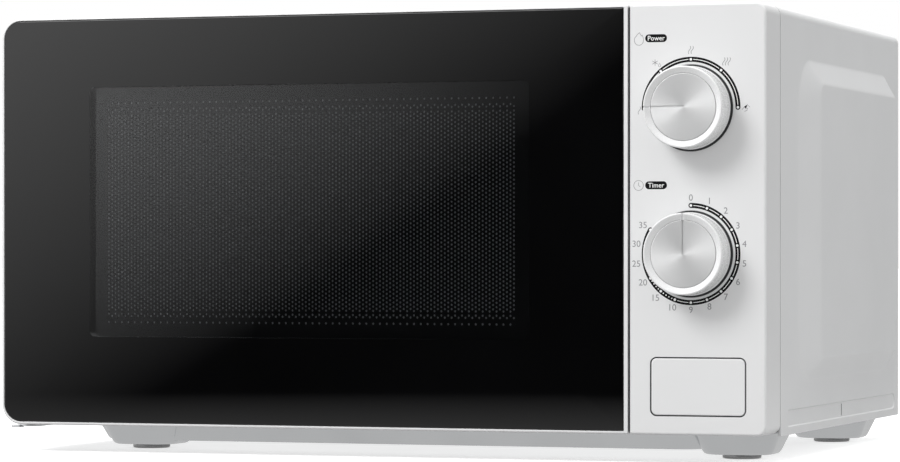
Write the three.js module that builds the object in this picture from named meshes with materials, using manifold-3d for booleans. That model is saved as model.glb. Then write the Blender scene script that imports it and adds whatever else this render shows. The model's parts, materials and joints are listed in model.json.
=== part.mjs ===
// A countertop microwave oven with two dial knobs, a push-button door release and a left-hung door.
// Millimetres, +X right, +Y back, +Z up.  Every piece is placed in the "front frame", whose origin is
// the middle of the front face's bottom edge; the outer group moves that frame so that the origin of
// the finished oven is the middle of its footprint, at the bottom of its feet.
import * as THREE from 'three';
import { mergeVertices } from 'three/addons/utils/BufferGeometryUtils.js';
import Module from 'manifold-3d';

// ---- driving dimensions -------------------------------------------------------------------------
const HALF_WIDTH = 223;
const FRONT_HEIGHT = 229.6;
const SHEET = 1.2;
const GAP = 0.3;

const DOOR_RIGHT = 147;
const DOOR_DEPTH = 27;
const DOOR_CORNER = 12;
const HINGE = { x: -212, y: 16 };
const HINGE_PIN_RADIUS = 3;
const GLASS = { x0: -221, x1: 144.4, z0: 1.9, z1: 227.9, depth: 4, corner: 10 };
const WINDOW = { x0: -172, x1: 92, z0: 40, z1: 196 };
const SCREEN_Y = 12;

const PANEL_LEFT = 148.1;
const PANEL_DEPTH = 30.1;
const PANEL_WALL = 2.2;

const CABINET = { front: 31.1, rear: 322.2, bottom: -1.3, top: 229.3, corner: 5 };
const SIDE_BULGE = 5;
const TOP_BULGE = 4.7;
const REAR_BULGE = 11;
const REAR_PANEL_Y = 319.8;
const REAR_MOST = REAR_PANEL_Y + SHEET + REAR_BULGE;

const CAVITY = { x0: -190, x1: 118, z0: 14, z1: 212, y0: 29.7, y1: 312 };
const FRONT_PLATE_Y = 28.2;

const KNOB = { x: 181.9, powerZ: 173.9, timerZ: 96.3, radius: 21.75, skirt: 22.4, reach: 17 };
const SHAFT_RADIUS = 3;
const BUTTON = { x0: 160, x1: 211.5, z0: 10.6, z1: 41.1, corner: 4, rim: 0.6, flange: 3 };
const LEVER_PIVOT = { y: 16, z: 36 };

const HOOK_TRAVEL = 5;
const HOOK_BASES = [40, 192];

const TURNTABLE = { x: -36, y: 172 };
const ROLLER = { radius: 7.3, width: 7, orbit: 92, bore: 1.7 };
const ROLLER_Z = CAVITY.z0 + 0.2 + ROLLER.radius;
const PLATE_Z = ROLLER_Z + ROLLER.radius + 0.2;
const PLATE_RADIUS = 122.5;

const TRAY = { x0: -193, x1: 182, y0: 48, y1: 300, depth: 10.5 };
const BOSS_DEPTH = 12.7;
const FLOOR_Z = -15.3;
const FEET = {
  foot_front_left: { x: -159.3, y: 66 },
  foot_front_right: { x: 192.5, y: 66 },
  foot_rear_left: { x: -159.3, y: 265 },
  foot_rear_right: { x: 195.2, y: 265 },
};
const FOOT_RADIUS = 10.7;

const FAN = { x: 172, z: 130, radius: 38 };

// ---- materials ----------------------------------------------------------------------------------
const finish = (color, roughness, metalness = 0) =>
  new THREE.MeshStandardMaterial({ color, roughness, metalness });
const WHITE_PAINT = finish(0xe9eaeb, 0.42);
const WHITE_PLASTIC = finish(0xeeeeef, 0.38);
const CAVITY_ENAMEL = finish(0xb9bcbd, 0.5);
const BLACK_PAINT = finish(0x121213, 0.6);
const BLACK_GLASS = finish(0x060607, 0.06);
const PALE_FILM = finish(0x9a9c9e, 0.5);
const ZINC_STEEL = finish(0xa9adb0, 0.35, 0.9);
const SPUN_METAL = finish(0xd4d5d6, 0.25, 0.9);
const SPRING_STEEL = finish(0x8f9295, 0.3, 0.9);
const DARK_PLASTIC = finish(0x2a2b2d, 0.55);
const GREY_PLASTIC = finish(0xc9c9c6, 0.5);
const GREY_RUBBER = finish(0x9b9b9c, 0.5);
const COPPER = finish(0xb06a3a, 0.4, 0.8);
const LAMINATION = finish(0x55585b, 0.5, 0.7);
const CIRCUIT_BOARD = finish(0x2f6b3d, 0.6);
const MICA = finish(0xb9a98a, 0.6);
const CLEAR_GLASS = finish(0xdfe6e4, 0.05);

// ---- joining and cutting ------------------------------------------------------------------------
const wasm = await Module();
wasm.setup();

function toSolid(geometry) {
  const bare = geometry.clone();
  bare.deleteAttribute('normal');
  bare.deleteAttribute('uv');
  const merged = mergeVertices(bare, 1e-4);
  const vertProperties = new Float32Array(merged.attributes.position.array);
  const triVerts = new Uint32Array(merged.index.array);
  return new wasm.Manifold(new wasm.Mesh({ numProp: 3, vertProperties, triVerts }));
}

function toGeometry(solid) {
  const mesh = solid.getMesh();
  const geometry = new THREE.BufferGeometry();
  geometry.setAttribute('position', new THREE.BufferAttribute(new Float32Array(mesh.vertProperties), 3));
  geometry.setIndex(new THREE.BufferAttribute(new Uint32Array(mesh.triVerts), 1));
  geometry.computeVertexNormals();
  return geometry;
}

function join(...geometries) {
  const solids = geometries.map(toSolid);
  return toGeometry(solids.reduce((sum, solid) => sum.add(solid)));
}

function cut(geometry, ...tools) {
  const solids = tools.map(toSolid);
  return toGeometry(solids.reduce((rest, tool) => rest.subtract(tool), toSolid(geometry)));
}

function common(first, second) {
  return toGeometry(toSolid(first).intersect(toSolid(second)));
}

// ---- shapes -------------------------------------------------------------------------------------
// A box between two corners.
function block(x0, x1, y0, y1, z0, z1) {
  const box = new THREE.BoxGeometry(x1 - x0, y1 - y0, z1 - z0);
  return box.translate((x0 + x1) / 2, (y0 + y1) / 2, (z0 + z1) / 2);
}

// The outline of a rectangle with rounded corners: [left bottom, right bottom, right top, left top].
function outline(u0, u1, v0, v1, corners, steps = 4) {
  const radii = Array.isArray(corners) ? corners : [corners, corners, corners, corners];
  const places = [[u0, v0, 1, 1], [u1, v0, -1, 1], [u1, v1, -1, -1], [u0, v1, 1, -1]];
  return places.flatMap(([u, v, inU, inV], corner) => {
    const radius = radii[corner];
    if (radius === 0) return [new THREE.Vector2(u, v)];
    const points = [];
    for (let step = 0; step <= steps; step += 1) {
      const angle = Math.PI * (1 + corner / 2 + step / steps / 2);
      const across = u + radius * (inU + Math.cos(angle));
      const along = v + radius * (inV + Math.sin(angle));
      points.push(new THREE.Vector2(across, along));
    }
    return points;
  });
}

function roundedShape(u0, u1, v0, v1, corners, steps = 4) {
  return new THREE.Shape(outline(u0, u1, v0, v1, corners, steps));
}

function polygon(points) {
  return new THREE.Shape(points.map(([u, v]) => new THREE.Vector2(u, v)));
}

// A shape pushed along one axis.  Its own plane is (x, y) for z, (x, z) for y and (y, z) for x.
function extrude(shape, axis, from, to) {
  const options = { depth: to - from, bevelEnabled: false, curveSegments: 8 };
  const geometry = new THREE.ExtrudeGeometry(shape, options);
  if (axis === 'z') return geometry.translate(0, 0, from);
  if (axis === 'y') return geometry.rotateX(Math.PI / 2).translate(0, to, 0);
  const turn = new THREE.Matrix4().makeBasis(
    new THREE.Vector3(0, 1, 0), new THREE.Vector3(0, 0, 1), new THREE.Vector3(1, 0, 0));
  return geometry.applyMatrix4(turn).translate(from, 0, 0);
}

// A round bar along one axis; u and v are the other two coordinates in X, Y, Z order.
function rod(axis, u, v, radius, from, to, segments = 20) {
  const bar = new THREE.CylinderGeometry(radius, radius, to - from, segments);
  const middle = (from + to) / 2;
  if (axis === 'x') return bar.rotateZ(-Math.PI / 2).translate(middle, u, v);
  if (axis === 'y') return bar.translate(u, middle, v);
  return bar.rotateX(Math.PI / 2).translate(u, v, middle);
}

// A profile of (radius, height) points turned about a vertical axis at (x, y).
function turnUpright(profile, x, y, segments) {
  const points = profile.map(([radius, height]) => new THREE.Vector2(radius, height));
  return new THREE.LatheGeometry(points, segments).rotateX(Math.PI / 2).translate(x, y, 0);
}

// A profile of (radius, depth) points turned about an axis along Y at (x, z).
function turnFacing(profile, x, z, segments) {
  const points = profile.map(([radius, depth]) => new THREE.Vector2(radius, depth));
  return new THREE.LatheGeometry(points, segments).translate(x, 0, z);
}

// A solid that runs from one outline to another with the same number of points, for pressed panels.
function loft(axis, outlineA, outlineB, a, b) {
  const place = {
    x: (point, height) => [height, point.x, point.y],
    y: (point, height) => [point.x, height, point.y],
    z: (point, height) => [point.x, point.y, height],
  }[axis];
  const count = outlineA.length;
  const positions = [...outlineA.map((p) => place(p, a)), ...outlineB.map((p) => place(p, b))].flat();
  const faces = [];
  const caps = THREE.ShapeUtils.triangulateShape(outlineA, []);
  for (const [i, j, k] of caps) {
    faces.push(i, k, j);
    faces.push(count + i, count + j, count + k);
  }
  for (let i = 0; i < count; i += 1) {
    const next = (i + 1) % count;
    faces.push(i, next, count + next);
    faces.push(i, count + next, count + i);
  }
  // (x, z) is a left-handed plane when seen along Y, and a falling height turns the faces round again.
  const flip = (axis === 'y') !== (b < a);
  for (let i = 0; flip && i < faces.length; i += 3) {
    [faces[i + 1], faces[i + 2]] = [faces[i + 2], faces[i + 1]];
  }
  const geometry = new THREE.BufferGeometry();
  geometry.setAttribute('position', new THREE.Float32BufferAttribute(positions, 3));
  geometry.setIndex(faces);
  return geometry;
}

// A thin pressed bulge: its outer form less the same form moved back by the sheet's thickness.
function pressed(axis, outlineA, outlineB, base, height, thickness) {
  const outward = Math.sign(height);
  const outer = loft(axis, outlineA, outlineB, base - outward * thickness, base + height);
  const inner = loft(axis, outlineA, outlineB, base - 2 * outward * thickness,
    base + height - outward * thickness);
  return { outer, inner };
}

// A coil spring as one closed wire.
class Helix extends THREE.Curve {
  constructor(start, end, radius, turns) {
    super();
    Object.assign(this, { start, end, radius, turns });
    this.along = end.clone().sub(start).normalize();
    const helper = Math.abs(this.along.x) > 0.9 ? new THREE.Vector3(0, 1, 0) : new THREE.Vector3(1, 0, 0);
    this.side = new THREE.Vector3().crossVectors(this.along, helper).normalize();
    this.other = new THREE.Vector3().crossVectors(this.along, this.side);
  }

  getPoint(t, target = new THREE.Vector3()) {
    const angle = 2 * Math.PI * this.turns * t;
    return target.lerpVectors(this.start, this.end, t)
      .addScaledVector(this.side, this.radius * Math.cos(angle))
      .addScaledVector(this.other, this.radius * Math.sin(angle));
  }
}

function coilSpring(start, end, radius, wire, turns) {
  const section = polygon([[wire, 0], [0, wire], [-wire, 0], [0, -wire]]);
  const path = new Helix(start, end, radius, turns);
  return new THREE.ExtrudeGeometry(section, { steps: turns * 8, extrudePath: path });
}

// ---- the assembly -------------------------------------------------------------------------------
const oven = new THREE.Group();
oven.position.set(0, (KNOB.reach - REAR_MOST) / 2, -FLOOR_Z);

function addPiece(name, geometry, material) {
  const piece = new THREE.Mesh(geometry, material);
  piece.name = name;
  oven.add(piece);
}

// ---- cabinet: one sheet wrapped over the top and both sides, with pressed panels -----------------
function sideOutlines() {
  const foot = outline(66.6, 300, 26, 203.8, [30, 24, 24, 30]);
  const flat = outline(106, 296, 39.5, 189.5, [5, 5, 5, 5]);
  return [foot, flat];
}

function cabinet() {
  const { front, rear, bottom, top, corner } = CABINET;
  const outside = roundedShape(-HALF_WIDTH, HALF_WIDTH, bottom, top, [0, 0, corner, corner]);
  const inside = roundedShape(-HALF_WIDTH + SHEET, HALF_WIDTH - SHEET, bottom - 1, top - SHEET,
    [0, 0, corner - SHEET, corner - SHEET]);
  const wrap = cut(extrude(outside, 'y', front, rear), extrude(inside, 'y', front - 1, rear + 1));
  const [foot, flat] = sideOutlines();
  const right = pressed('x', foot, flat, HALF_WIDTH, SIDE_BULGE, SHEET);
  const left = pressed('x', foot, flat, -HALF_WIDTH, -SIDE_BULGE, SHEET);
  const lid = pressed('z', outline(-180, 180, 60, 306, 30), outline(-168, 168, 72, 294, 20),
    top, TOP_BULGE, SHEET);
  const grooves = [1, -1].map((side) => {
    const strip = roundedShape(44.6, 313, 2.6, 12.5, 4.9);
    const face = side * HALF_WIDTH;
    const span = (near, far) => [face + side * near, face + side * far].sort((a, b) => a - b);
    return {
      back: extrude(strip, 'x', ...span(-SHEET - 0.8, -SHEET + 0.4)),
      hollow: extrude(strip, 'x', ...span(-0.8, 1)),
    };
  });
  const full = join(wrap, right.outer, left.outer, lid.outer, ...grooves.map((groove) => groove.back));
  return cut(full, right.inner, left.inner, lid.inner, ...grooves.map((groove) => groove.hollow));
}

// ---- base: a flat pan with a dropped tray and four foot bosses ------------------------------------
function basePlate() {
  const plate = block(-HALF_WIDTH + SHEET + GAP, HALF_WIDTH - SHEET - GAP, 31.6, 317.5, 0, SHEET);
  const { x0, x1, y0, y1, depth } = TRAY;
  const tray = pressed('z', outline(x0, x1, y0, y1, 20), outline(x0 + 8, x1 - 8, y0 + 7, y1 - 8, 16),
    0, -depth, SHEET);
  const bosses = Object.values(FEET).map(({ x, y }) => {
    const wide = outline(x - 26, x + 26, y - 26, y + 26, 14);
    const narrow = outline(x - 18, x + 18, y - 18, y + 18, 12);
    return pressed('z', wide, narrow, 0, -BOSS_DEPTH, SHEET);
  });
  const full = join(plate, tray.outer, ...bosses.map((boss) => boss.outer));
  const hollow = cut(full, tray.inner, ...bosses.map((boss) => boss.inner));
  const holes = Object.values(FEET).map(({ x, y }) => rod('z', x, y, 3.1, -BOSS_DEPTH - 1, 1, 16));
  return cut(hollow, ...holes);
}

function foot({ x, y }) {
  const seat = -BOSS_DEPTH - GAP;
  const inside = -BOSS_DEPTH + SHEET + GAP;
  return turnUpright([
    [0, FLOOR_Z], [FOOT_RADIUS - 0.8, FLOOR_Z], [FOOT_RADIUS, FLOOR_Z + 0.7],
    [FOOT_RADIUS, seat], [2.8, seat],
    [2.8, inside], [4.6, inside], [3.4, inside + 3], [0, inside + 3],
  ], x, y, 16);
}

// ---- rear panel with a raised, slotted field behind the fan ---------------------------------------
function rearPanel() {
  const edge = HALF_WIDTH - SHEET - 0.4;
  const shape = roundedShape(-edge, edge, 1.6, CABINET.top - SHEET - 0.5, [0, 0, 3, 3]);
  const plate = extrude(shape, 'y', REAR_PANEL_Y, REAR_PANEL_Y + SHEET);
  const bulge = pressed('y', outline(66, 212, 56, 208, 16), outline(78, 200, 68, 196, 10),
    REAR_PANEL_Y + SHEET, REAR_BULGE, SHEET);
  const slots = [];
  for (let row = 0; row < 2; row += 1) {
    for (let column = 0; column < 8; column += 1) {
      const x = 88 + column * 14.2;
      const z = 76 + row * 58;
      slots.push(block(x, x + 5, REAR_PANEL_Y - 2, REAR_MOST + 1, z, z + 50));
    }
  }
  for (let column = 0; column < 10; column += 1) {
    const x = -150 + column * 12;
    slots.push(block(x, x + 4.5, REAR_PANEL_Y - 1, REAR_PANEL_Y + 2, 176, 206));
  }
  const glandHole = rod('y', 195, 28, 8, REAR_PANEL_Y - 1, REAR_PANEL_Y + 2, 16);
  const screwHoles = [-205, 205].map((x) => rod('y', x, 14, 2.1, REAR_PANEL_Y - 1, REAR_PANEL_Y + 2, 12));
  return cut(cut(join(plate, bulge.outer), bulge.inner), ...slots, glandHole, ...screwHoles);
}

function rearScrew(x) {
  const face = REAR_PANEL_Y + SHEET + GAP;
  return turnFacing([[0, face - 12], [1.8, face - 12], [1.8, face], [4, face], [3.2, face + 2.2],
    [0, face + 2.2]], x, 14, 12);
}

function cordGland() {
  const face = REAR_PANEL_Y + SHEET + GAP;
  return turnFacing([[3.8, face - 9], [7.6, face - 9], [7.6, face], [11, face], [11, face + 2.5],
    [7.5, face + 4], [6.5, face + 9.5], [3.8, face + 9.5], [3.8, face - 9]], 195, 28, 16);
}

// ---- oven cavity and the front plate around its mouth --------------------------------------------
function cavity() {
  const { x0, x1, y0, y1, z0, z1 } = CAVITY;
  const outside = block(x0 - 1, x1 + 1, y0, y1 + 1, z0 - 1, z1 + 1);
  const inside = extrude(roundedShape(x0, x1, z0, z1, 6, 3), 'y', y0 - 1, y1);
  const shaftHole = rod('z', TURNTABLE.x, TURNTABLE.y, 5, z0 - 2, z0 + 1, 16);
  const waveguideMouth = block(x1 - 1, x1 + 2, 150, 215, 150, 192);
  const lampHoles = [];
  const intakeHoles = [];
  const ventHoles = [];
  for (let row = 0; row < 3; row += 1) {
    for (let column = 0; column < 3; column += 1) {
      lampHoles.push(rod('x', 236 + column * 7, 150 + row * 7, 2, x1 - 1, x1 + 2, 6));
      intakeHoles.push(rod('x', 78 + column * 7, 140 + row * 7, 2, x1 - 1, x1 + 2, 6));
      ventHoles.push(rod('x', 250 + column * 7, 170 + row * 7, 2, x0 - 2, x0 + 1, 6));
    }
  }
  return cut(outside, inside, shaftHole, waveguideMouth, ...lampHoles, ...intakeHoles, ...ventHoles);
}

function frontPlate() {
  const y0 = FRONT_PLATE_Y;
  const y1 = FRONT_PLATE_Y + SHEET;
  const silhouette = polygon([
    [-213, 2.6], [146.5, 2.6], [146.5, 5], [219, 5], [219, 48], [146.5, 48],
    [146.5, 226], [-204, 226], [-204, 222], [-213, 222],
  ]);
  const earShape = roundedShape(12, y0 + 0.4, 30, 42, [3, 0, 0, 3]);
  const ears = [158.2, 216].map((x) => extrude(earShape, 'x', x, x + 2));
  const plate = join(extrude(silhouette, 'y', y0, y1), ...ears);
  const mouthShape = roundedShape(CAVITY.x0, CAVITY.x1, CAVITY.z0, CAVITY.z1, 6, 3);
  const mouth = extrude(mouthShape, 'y', y0 - 1, y1 + 1);
  const latchSlots = HOOK_BASES.map((z) => block(127.5, 142.5, y0 - 1, y1 + 1, z - 12, z + 12));
  const leverSlot = block(148.5, 157.7, y0 - 1, y1 + 1, 20, 45);
  const pivotHole = rod('x', LEVER_PIVOT.y, LEVER_PIVOT.z, 2.8, 150, 220, 16);
  return cut(plate, mouth, ...latchSlots, leverSlot, pivotHole);
}

// ---- hinge brackets: a round-ended arm under and over the door's left end, each with its pin ------
function hingeBracket(armBottom, armTop, pin, pad) {
  const shape = new THREE.Shape();
  shape.moveTo(HINGE.x - 7, 60);
  shape.lineTo(HINGE.x - 7, HINGE.y);
  shape.absarc(HINGE.x, HINGE.y, 7, Math.PI, 2 * Math.PI, false);
  shape.lineTo(HINGE.x + 7, 60);
  const arm = extrude(shape, 'z', armBottom, armTop);
  const post = rod('z', HINGE.x, HINGE.y, HINGE_PIN_RADIUS, ...pin, 16);
  return join(arm, post, block(HINGE.x - 7, HINGE.x + 7, 44, 60, ...pad));
}

// ---- control panel --------------------------------------------------------------------------------
function controlPanel() {
  const corners = [1, 5, 6, 1];
  const outside = roundedShape(PANEL_LEFT, HALF_WIDTH, 0, FRONT_HEIGHT, corners);
  const inside = roundedShape(PANEL_LEFT + PANEL_WALL, HALF_WIDTH - PANEL_WALL, PANEL_WALL,
    FRONT_HEIGHT - PANEL_WALL, 3);
  const { x0, x1, z0, z1, corner, rim } = BUTTON;
  const opening = roundedShape(x0 - rim, x1 + rim, z0 - rim, z1 + rim, corner + rim);
  const besidePlate = block(PANEL_LEFT - 1, PANEL_LEFT + PANEL_WALL + 0.1, FRONT_PLATE_Y - 0.4,
    PANEL_DEPTH + 1, -1, FRONT_HEIGHT + 1);
  const shaftHoles = [KNOB.powerZ, KNOB.timerZ].map((z) => rod('y', KNOB.x, z, 4, -1, PANEL_WALL + 1));
  return cut(extrude(outside, 'y', 0, PANEL_DEPTH), extrude(inside, 'y', PANEL_WALL, PANEL_DEPTH + 1),
    extrude(opening, 'y', -1, PANEL_WALL + 1), besidePlate, ...shaftHoles);
}

// ---- knobs: a turned cup with a dished face, a spun metal disc in it, and a shaft ------------------
const POINTER_WIDTH = 0.9;

// A thin bar from the knob's centre to its rim, at an angle seen from the front.
function pointerBar(z, angle, fromRadius, toRadius, y0, y1) {
  const bar = block(fromRadius, toRadius, y0, y1, -POINTER_WIDTH / 2, POINTER_WIDTH / 2);
  return bar.rotateY(-angle).translate(KNOB.x, 0, z);
}

function knob(z, pointer) {
  const face = -KNOB.reach;
  const cup = turnFacing([
    [0, face + 4.2], [17.6, face + 4.2], [17.9, face + 2.4], [20.7, face], [21.4, face + 0.5],
    [KNOB.radius, face + 1.6], [KNOB.radius, -3.2], [KNOB.skirt, -2.6], [KNOB.skirt, -0.6], [0, -0.6],
  ], KNOB.x, z, 36);
  const bore = rod('y', KNOB.x, z, SHAFT_RADIUS + GAP, -11.7, 1, 16);
  return cut(cup, bore, pointerBar(z, pointer, 19, 24, face - 1, face + 3));
}

function knobCap(z, pointer) {
  const back = -KNOB.reach + 3.9;
  const disc = turnFacing([[0, back - 1.1], [16, back - 1.3], [17.3, back - 0.9], [17.3, back], [0, back]],
    KNOB.x, z, 36);
  return cut(disc, pointerBar(z, pointer, -POINTER_WIDTH / 2, 18, back - 2, back - 0.5));
}

function knobShaft(z) {
  return rod('y', KNOB.x, z, SHAFT_RADIUS, -11.4, 14, 16);
}

function timerUnit() {
  const body = block(154, 210, 6, 40, 68, 124);
  const boss = rod('y', KNOB.x, KNOB.timerZ, 9, 2.6, 6.5);
  const bell = rod('y', 170, 80, 8, 39.5, 52, 16);
  const terminals = [160, 168, 196, 204].map((x) => block(x, x + 6, 39.5, 48, 112, 112.8));
  const bore = rod('y', KNOB.x, KNOB.timerZ, SHAFT_RADIUS + GAP, 0, 14.4, 16);
  return cut(join(body, boss, bell, ...terminals), bore);
}

function powerSelector() {
  const body = block(158, 206, 6, 30, 150, 198);
  const boss = rod('y', KNOB.x, KNOB.powerZ, 9, 2.6, 6.5);
  const terminals = [164, 178, 192].map((x) => block(x, x + 6, 29.5, 38, 160, 160.8));
  const bore = rod('y', KNOB.x, KNOB.powerZ, SHAFT_RADIUS + GAP, 0, 14.4, 16);
  return cut(join(body, boss, ...terminals), bore);
}

// ---- door release: button, its spring and the rocking lever that lifts the door's hook -------------
function releaseButton() {
  const { x0, x1, z0, z1, corner, flange } = BUTTON;
  const cap = extrude(roundedShape(x0, x1, z0, z1, corner), 'y', 0, 4);
  const rimShape = roundedShape(x0 - flange, x1 + flange, z0 - flange, z1 + flange, corner);
  const rim = extrude(rimShape, 'y', 2.7, 4.2);
  const pushRib = block(164, 176, 4, 14.1, 12, 17);
  return join(cap, rim, pushRib);
}

function releaseLever() {
  const shaft = rod('x', LEVER_PIVOT.y, LEVER_PIVOT.z, 2.5, 151, 219.5, 16);
  const pushArm = block(165, 175, 14.5, 17.5, 11, LEVER_PIVOT.z);
  const rearArm = extrude(polygon([[14.5, 32.5], [36.5, 24.7], [40.5, 24.7], [40.5, 28.2], [17.5, 39.5]]),
    'x', 151, 157);
  const finger = block(130, 151.5, 36.5, 40.5, 24.7, 28.2);
  return join(shaft, pushArm, rearArm, finger);
}

// ---- latch: the sprung hook bar in the door, and the catch board behind the front plate ------------
function latchHook() {
  const bar = block(130.5, 138.5, 14, 21, 30, 206);
  const hooks = HOOK_BASES.flatMap((z) => [
    block(131, 137, 20.5, 41, z, z + 8),
    extrude(polygon([[36, z - HOOK_TRAVEL], [39, z - HOOK_TRAVEL], [41, z - 2], [41, z + 1], [36, z + 1]]),
      'x', 131, 137),
  ]);
  return join(bar, ...hooks);
}

function latchBoard() {
  const board = block(143, 145.5, 30.2, 62, 16, 208);
  const shelves = HOOK_BASES.map((z) => block(127, 143.5, 31, 35.5, z - 16, z - HOOK_TRAVEL - 0.4));
  const fingerHole = block(142, 147, 36, 46.5, 20, 39);
  return cut(join(board, ...shelves), fingerHole);
}

function doorSwitch(z) {
  return join(block(128, 142.4, 46, 60, z, z + 26), block(132, 138, 59.5, 66, z + 5, z + 5.8),
    block(132, 138, 59.5, 66, z + 18, z + 18.8));
}

// ---- door -------------------------------------------------------------------------------------------
function doorFrame() {
  const left = -HALF_WIDTH;
  const swing = HINGE.x - left;
  const plan = new THREE.Shape();
  plan.moveTo(left, 0);
  plan.lineTo(DOOR_RIGHT, 0);
  plan.lineTo(DOOR_RIGHT, DOOR_DEPTH);
  plan.lineTo(HINGE.x, DOOR_DEPTH);
  plan.absarc(HINGE.x, HINGE.y, swing, Math.PI / 2, Math.PI, false);
  const tall = extrude(plan, 'z', -1, FRONT_HEIGHT + 1);
  const face = roundedShape(left, DOOR_RIGHT, 0, FRONT_HEIGHT, [DOOR_CORNER, 1, 1, DOOR_CORNER]);
  const slab = common(tall, extrude(face, 'y', -1, DOOR_DEPTH + 1));
  const { x0, x1, z0, z1, depth, corner } = GLASS;
  const glassSeat = roundedShape(x0 - GAP, x1 + GAP, z0 - GAP, z1 + GAP,
    [corner + GAP, 0, 0, corner + GAP]);
  const seatBack = depth + GAP;
  return cut(slab,
    extrude(glassSeat, 'y', -1, seatBack),
    block(-198, 136, seatBack - 1, 7, 12, 218),
    block(-198, 143.5, 6.3, DOOR_DEPTH + 1, 4, 225.6),
    block(-209, -197, 6.3, DOOR_DEPTH + 1, 15, 211),
    rod('z', HINGE.x, HINGE.y, HINGE_PIN_RADIUS + GAP, -1, 10, 16),
    rod('z', HINGE.x, HINGE.y, HINGE_PIN_RADIUS + GAP, 212.5, 224, 16),
    block(left - 1, -203.5, 6, DOOR_DEPTH + 1, 222.3, 226.6));
}

function doorGlass() {
  const { x0, x1, z0, z1, depth, corner } = GLASS;
  return extrude(roundedShape(x0, x1, z0, z1, [corner, 0.5, 0.5, corner]), 'y', 0, depth);
}

// The steel inner door: a shallow pan whose folded rim is the microwave choke.
function doorScreen() {
  const pan = block(-196, 127, SCREEN_Y, 22, 8, 221.5);
  return cut(pan, block(-195, 126, SCREEN_Y + 1, 23, 9, 220.5));
}

function doorBackCover() {
  const { x0, x1, z0, z1 } = WINDOW;
  const cover = join(block(-197.5, 143, 24.8, DOOR_DEPTH, 4.5, 225.1),
    block(-208.5, -197, 24.8, DOOR_DEPTH, 15.5, 210.5));
  const lip = block(x0 - 1.5, x1 + 1.5, 13.6, 25, z0 - 1.5, z1 + 1.5);
  const opening = extrude(roundedShape(x0, x1, z0, z1, 5, 3), 'y', 13, DOOR_DEPTH + 1);
  const hookSlots = HOOK_BASES.map((z) =>
    block(129.7, 138.3, 24, DOOR_DEPTH + 1, z - HOOK_TRAVEL - 0.5, z + 8.5));
  return cut(join(cover, lip), opening, ...hookSlots);
}

function doorFilm() {
  const { x0, x1, z0, z1 } = WINDOW;
  return extrude(roundedShape(x0 + GAP, x1 - GAP, z0 + GAP, z1 - GAP, 5, 3), 'y', 13.8, 14.3);
}

// ---- turntable ----------------------------------------------------------------------------------------
function turntablePlate() {
  const z = PLATE_Z;
  const dish = turnUpright([
    [0, z], [102, z], [116, z + 6], [PLATE_RADIUS - 0.4, z + 11], [PLATE_RADIUS, z + 12.6],
    [PLATE_RADIUS - 1.4, z + 13.2], [115, z + 9], [101, z + 4], [0, z + 4],
  ], TURNTABLE.x, TURNTABLE.y, 40);
  const lugs = [0, 1, 2].map((i) => block(14, 24, -4, 4, z - 5, z + 1)
    .rotateZ((i * 2 * Math.PI) / 3).translate(TURNTABLE.x, TURNTABLE.y, 0));
  return join(dish, ...lugs);
}

function driveCoupler() {
  const floor = CAVITY.z0 + 0.4;
  const hub = turnUpright([
    [0, 9], [3.4, 9], [3.4, floor], [10, floor], [10, PLATE_Z - 0.6], [0, PLATE_Z - 0.6],
  ], TURNTABLE.x, TURNTABLE.y, 24);
  const lobes = [0, 1, 2].map((i) => block(8, 25, -3.5, 3.5, floor + 3, PLATE_Z - 0.8)
    .rotateZ(((i + 0.5) * 2 * Math.PI) / 3).translate(TURNTABLE.x, TURNTABLE.y, 0));
  return join(hub, ...lobes);
}

function aroundTurntable(geometry, i) {
  return geometry.rotateZ((i * 2 * Math.PI) / 3).translate(TURNTABLE.x, TURNTABLE.y, 0);
}

function rollerRing() {
  const z = ROLLER_Z;
  const ring = turnUpright([[79, z - 3], [86, z - 3], [86, z + 3], [79, z + 3], [79, z - 3]],
    TURNTABLE.x, TURNTABLE.y, 36);
  const axles = [0, 1, 2].map((i) => aroundTurntable(rod('x', 0, z, 1.4, 85, 97.5, 8), i));
  const stops = [0, 1, 2].map((i) => aroundTurntable(rod('x', 0, z, 2.6, 96.2, 97.8, 8), i));
  return join(ring, ...axles, ...stops);
}

function roller(i) {
  const near = ROLLER.orbit - ROLLER.width / 2;
  const far = near + ROLLER.width;
  const wheel = rod('x', 0, ROLLER_Z, ROLLER.radius, near, far, 24);
  return aroundTurntable(cut(wheel, rod('x', 0, ROLLER_Z, ROLLER.bore, near - 1, far + 1, 12)), i);
}

function turntableMotor() {
  const can = rod('z', TURNTABLE.x, TURNTABLE.y, 24, -8, 7, 24);
  const ears = block(TURNTABLE.x - 33, TURNTABLE.x + 33, TURNTABLE.y - 5, TURNTABLE.y + 5, 5.5, 6.8);
  const neck = rod('z', TURNTABLE.x, TURNTABLE.y, 7, 6.5, 12.4, 16);
  const socket = rod('z', TURNTABLE.x, TURNTABLE.y, 3.8, 8.5, 14, 12);
  return cut(join(can, ears, neck), socket);
}

// ---- microwave source and its supply -------------------------------------------------------------------
function magnetron() {
  const yoke = cut(block(150.6, 217, 106, 186, 134, 206), block(153, 214.6, 105, 187, 137, 203));
  const core = rod('x', 146, 170, 16, 152, 216, 16);
  const fins = [0, 1, 2, 3].map((i) => block(164 + i * 12, 165 + i * 12, 107, 185, 136, 204));
  const antenna = rod('x', 146, 170, 8, 132, 153, 12);
  const filterBox = block(190, 217, 116, 176, 104, 135);
  return join(yoke, core, ...fins, antenna, filterBox);
}

function waveguide() {
  const tube = cut(block(119.4, 150, 122, 226, 140, 206), block(118, 149, 123, 225, 141, 205));
  return cut(tube, rod('x', 146, 170, 10, 140, 152, 12));
}

function waveguideCover() {
  return extrude(roundedShape(142, 223, 142, 200, 4, 3), 'x', 116.6, 117.4);
}

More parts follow.
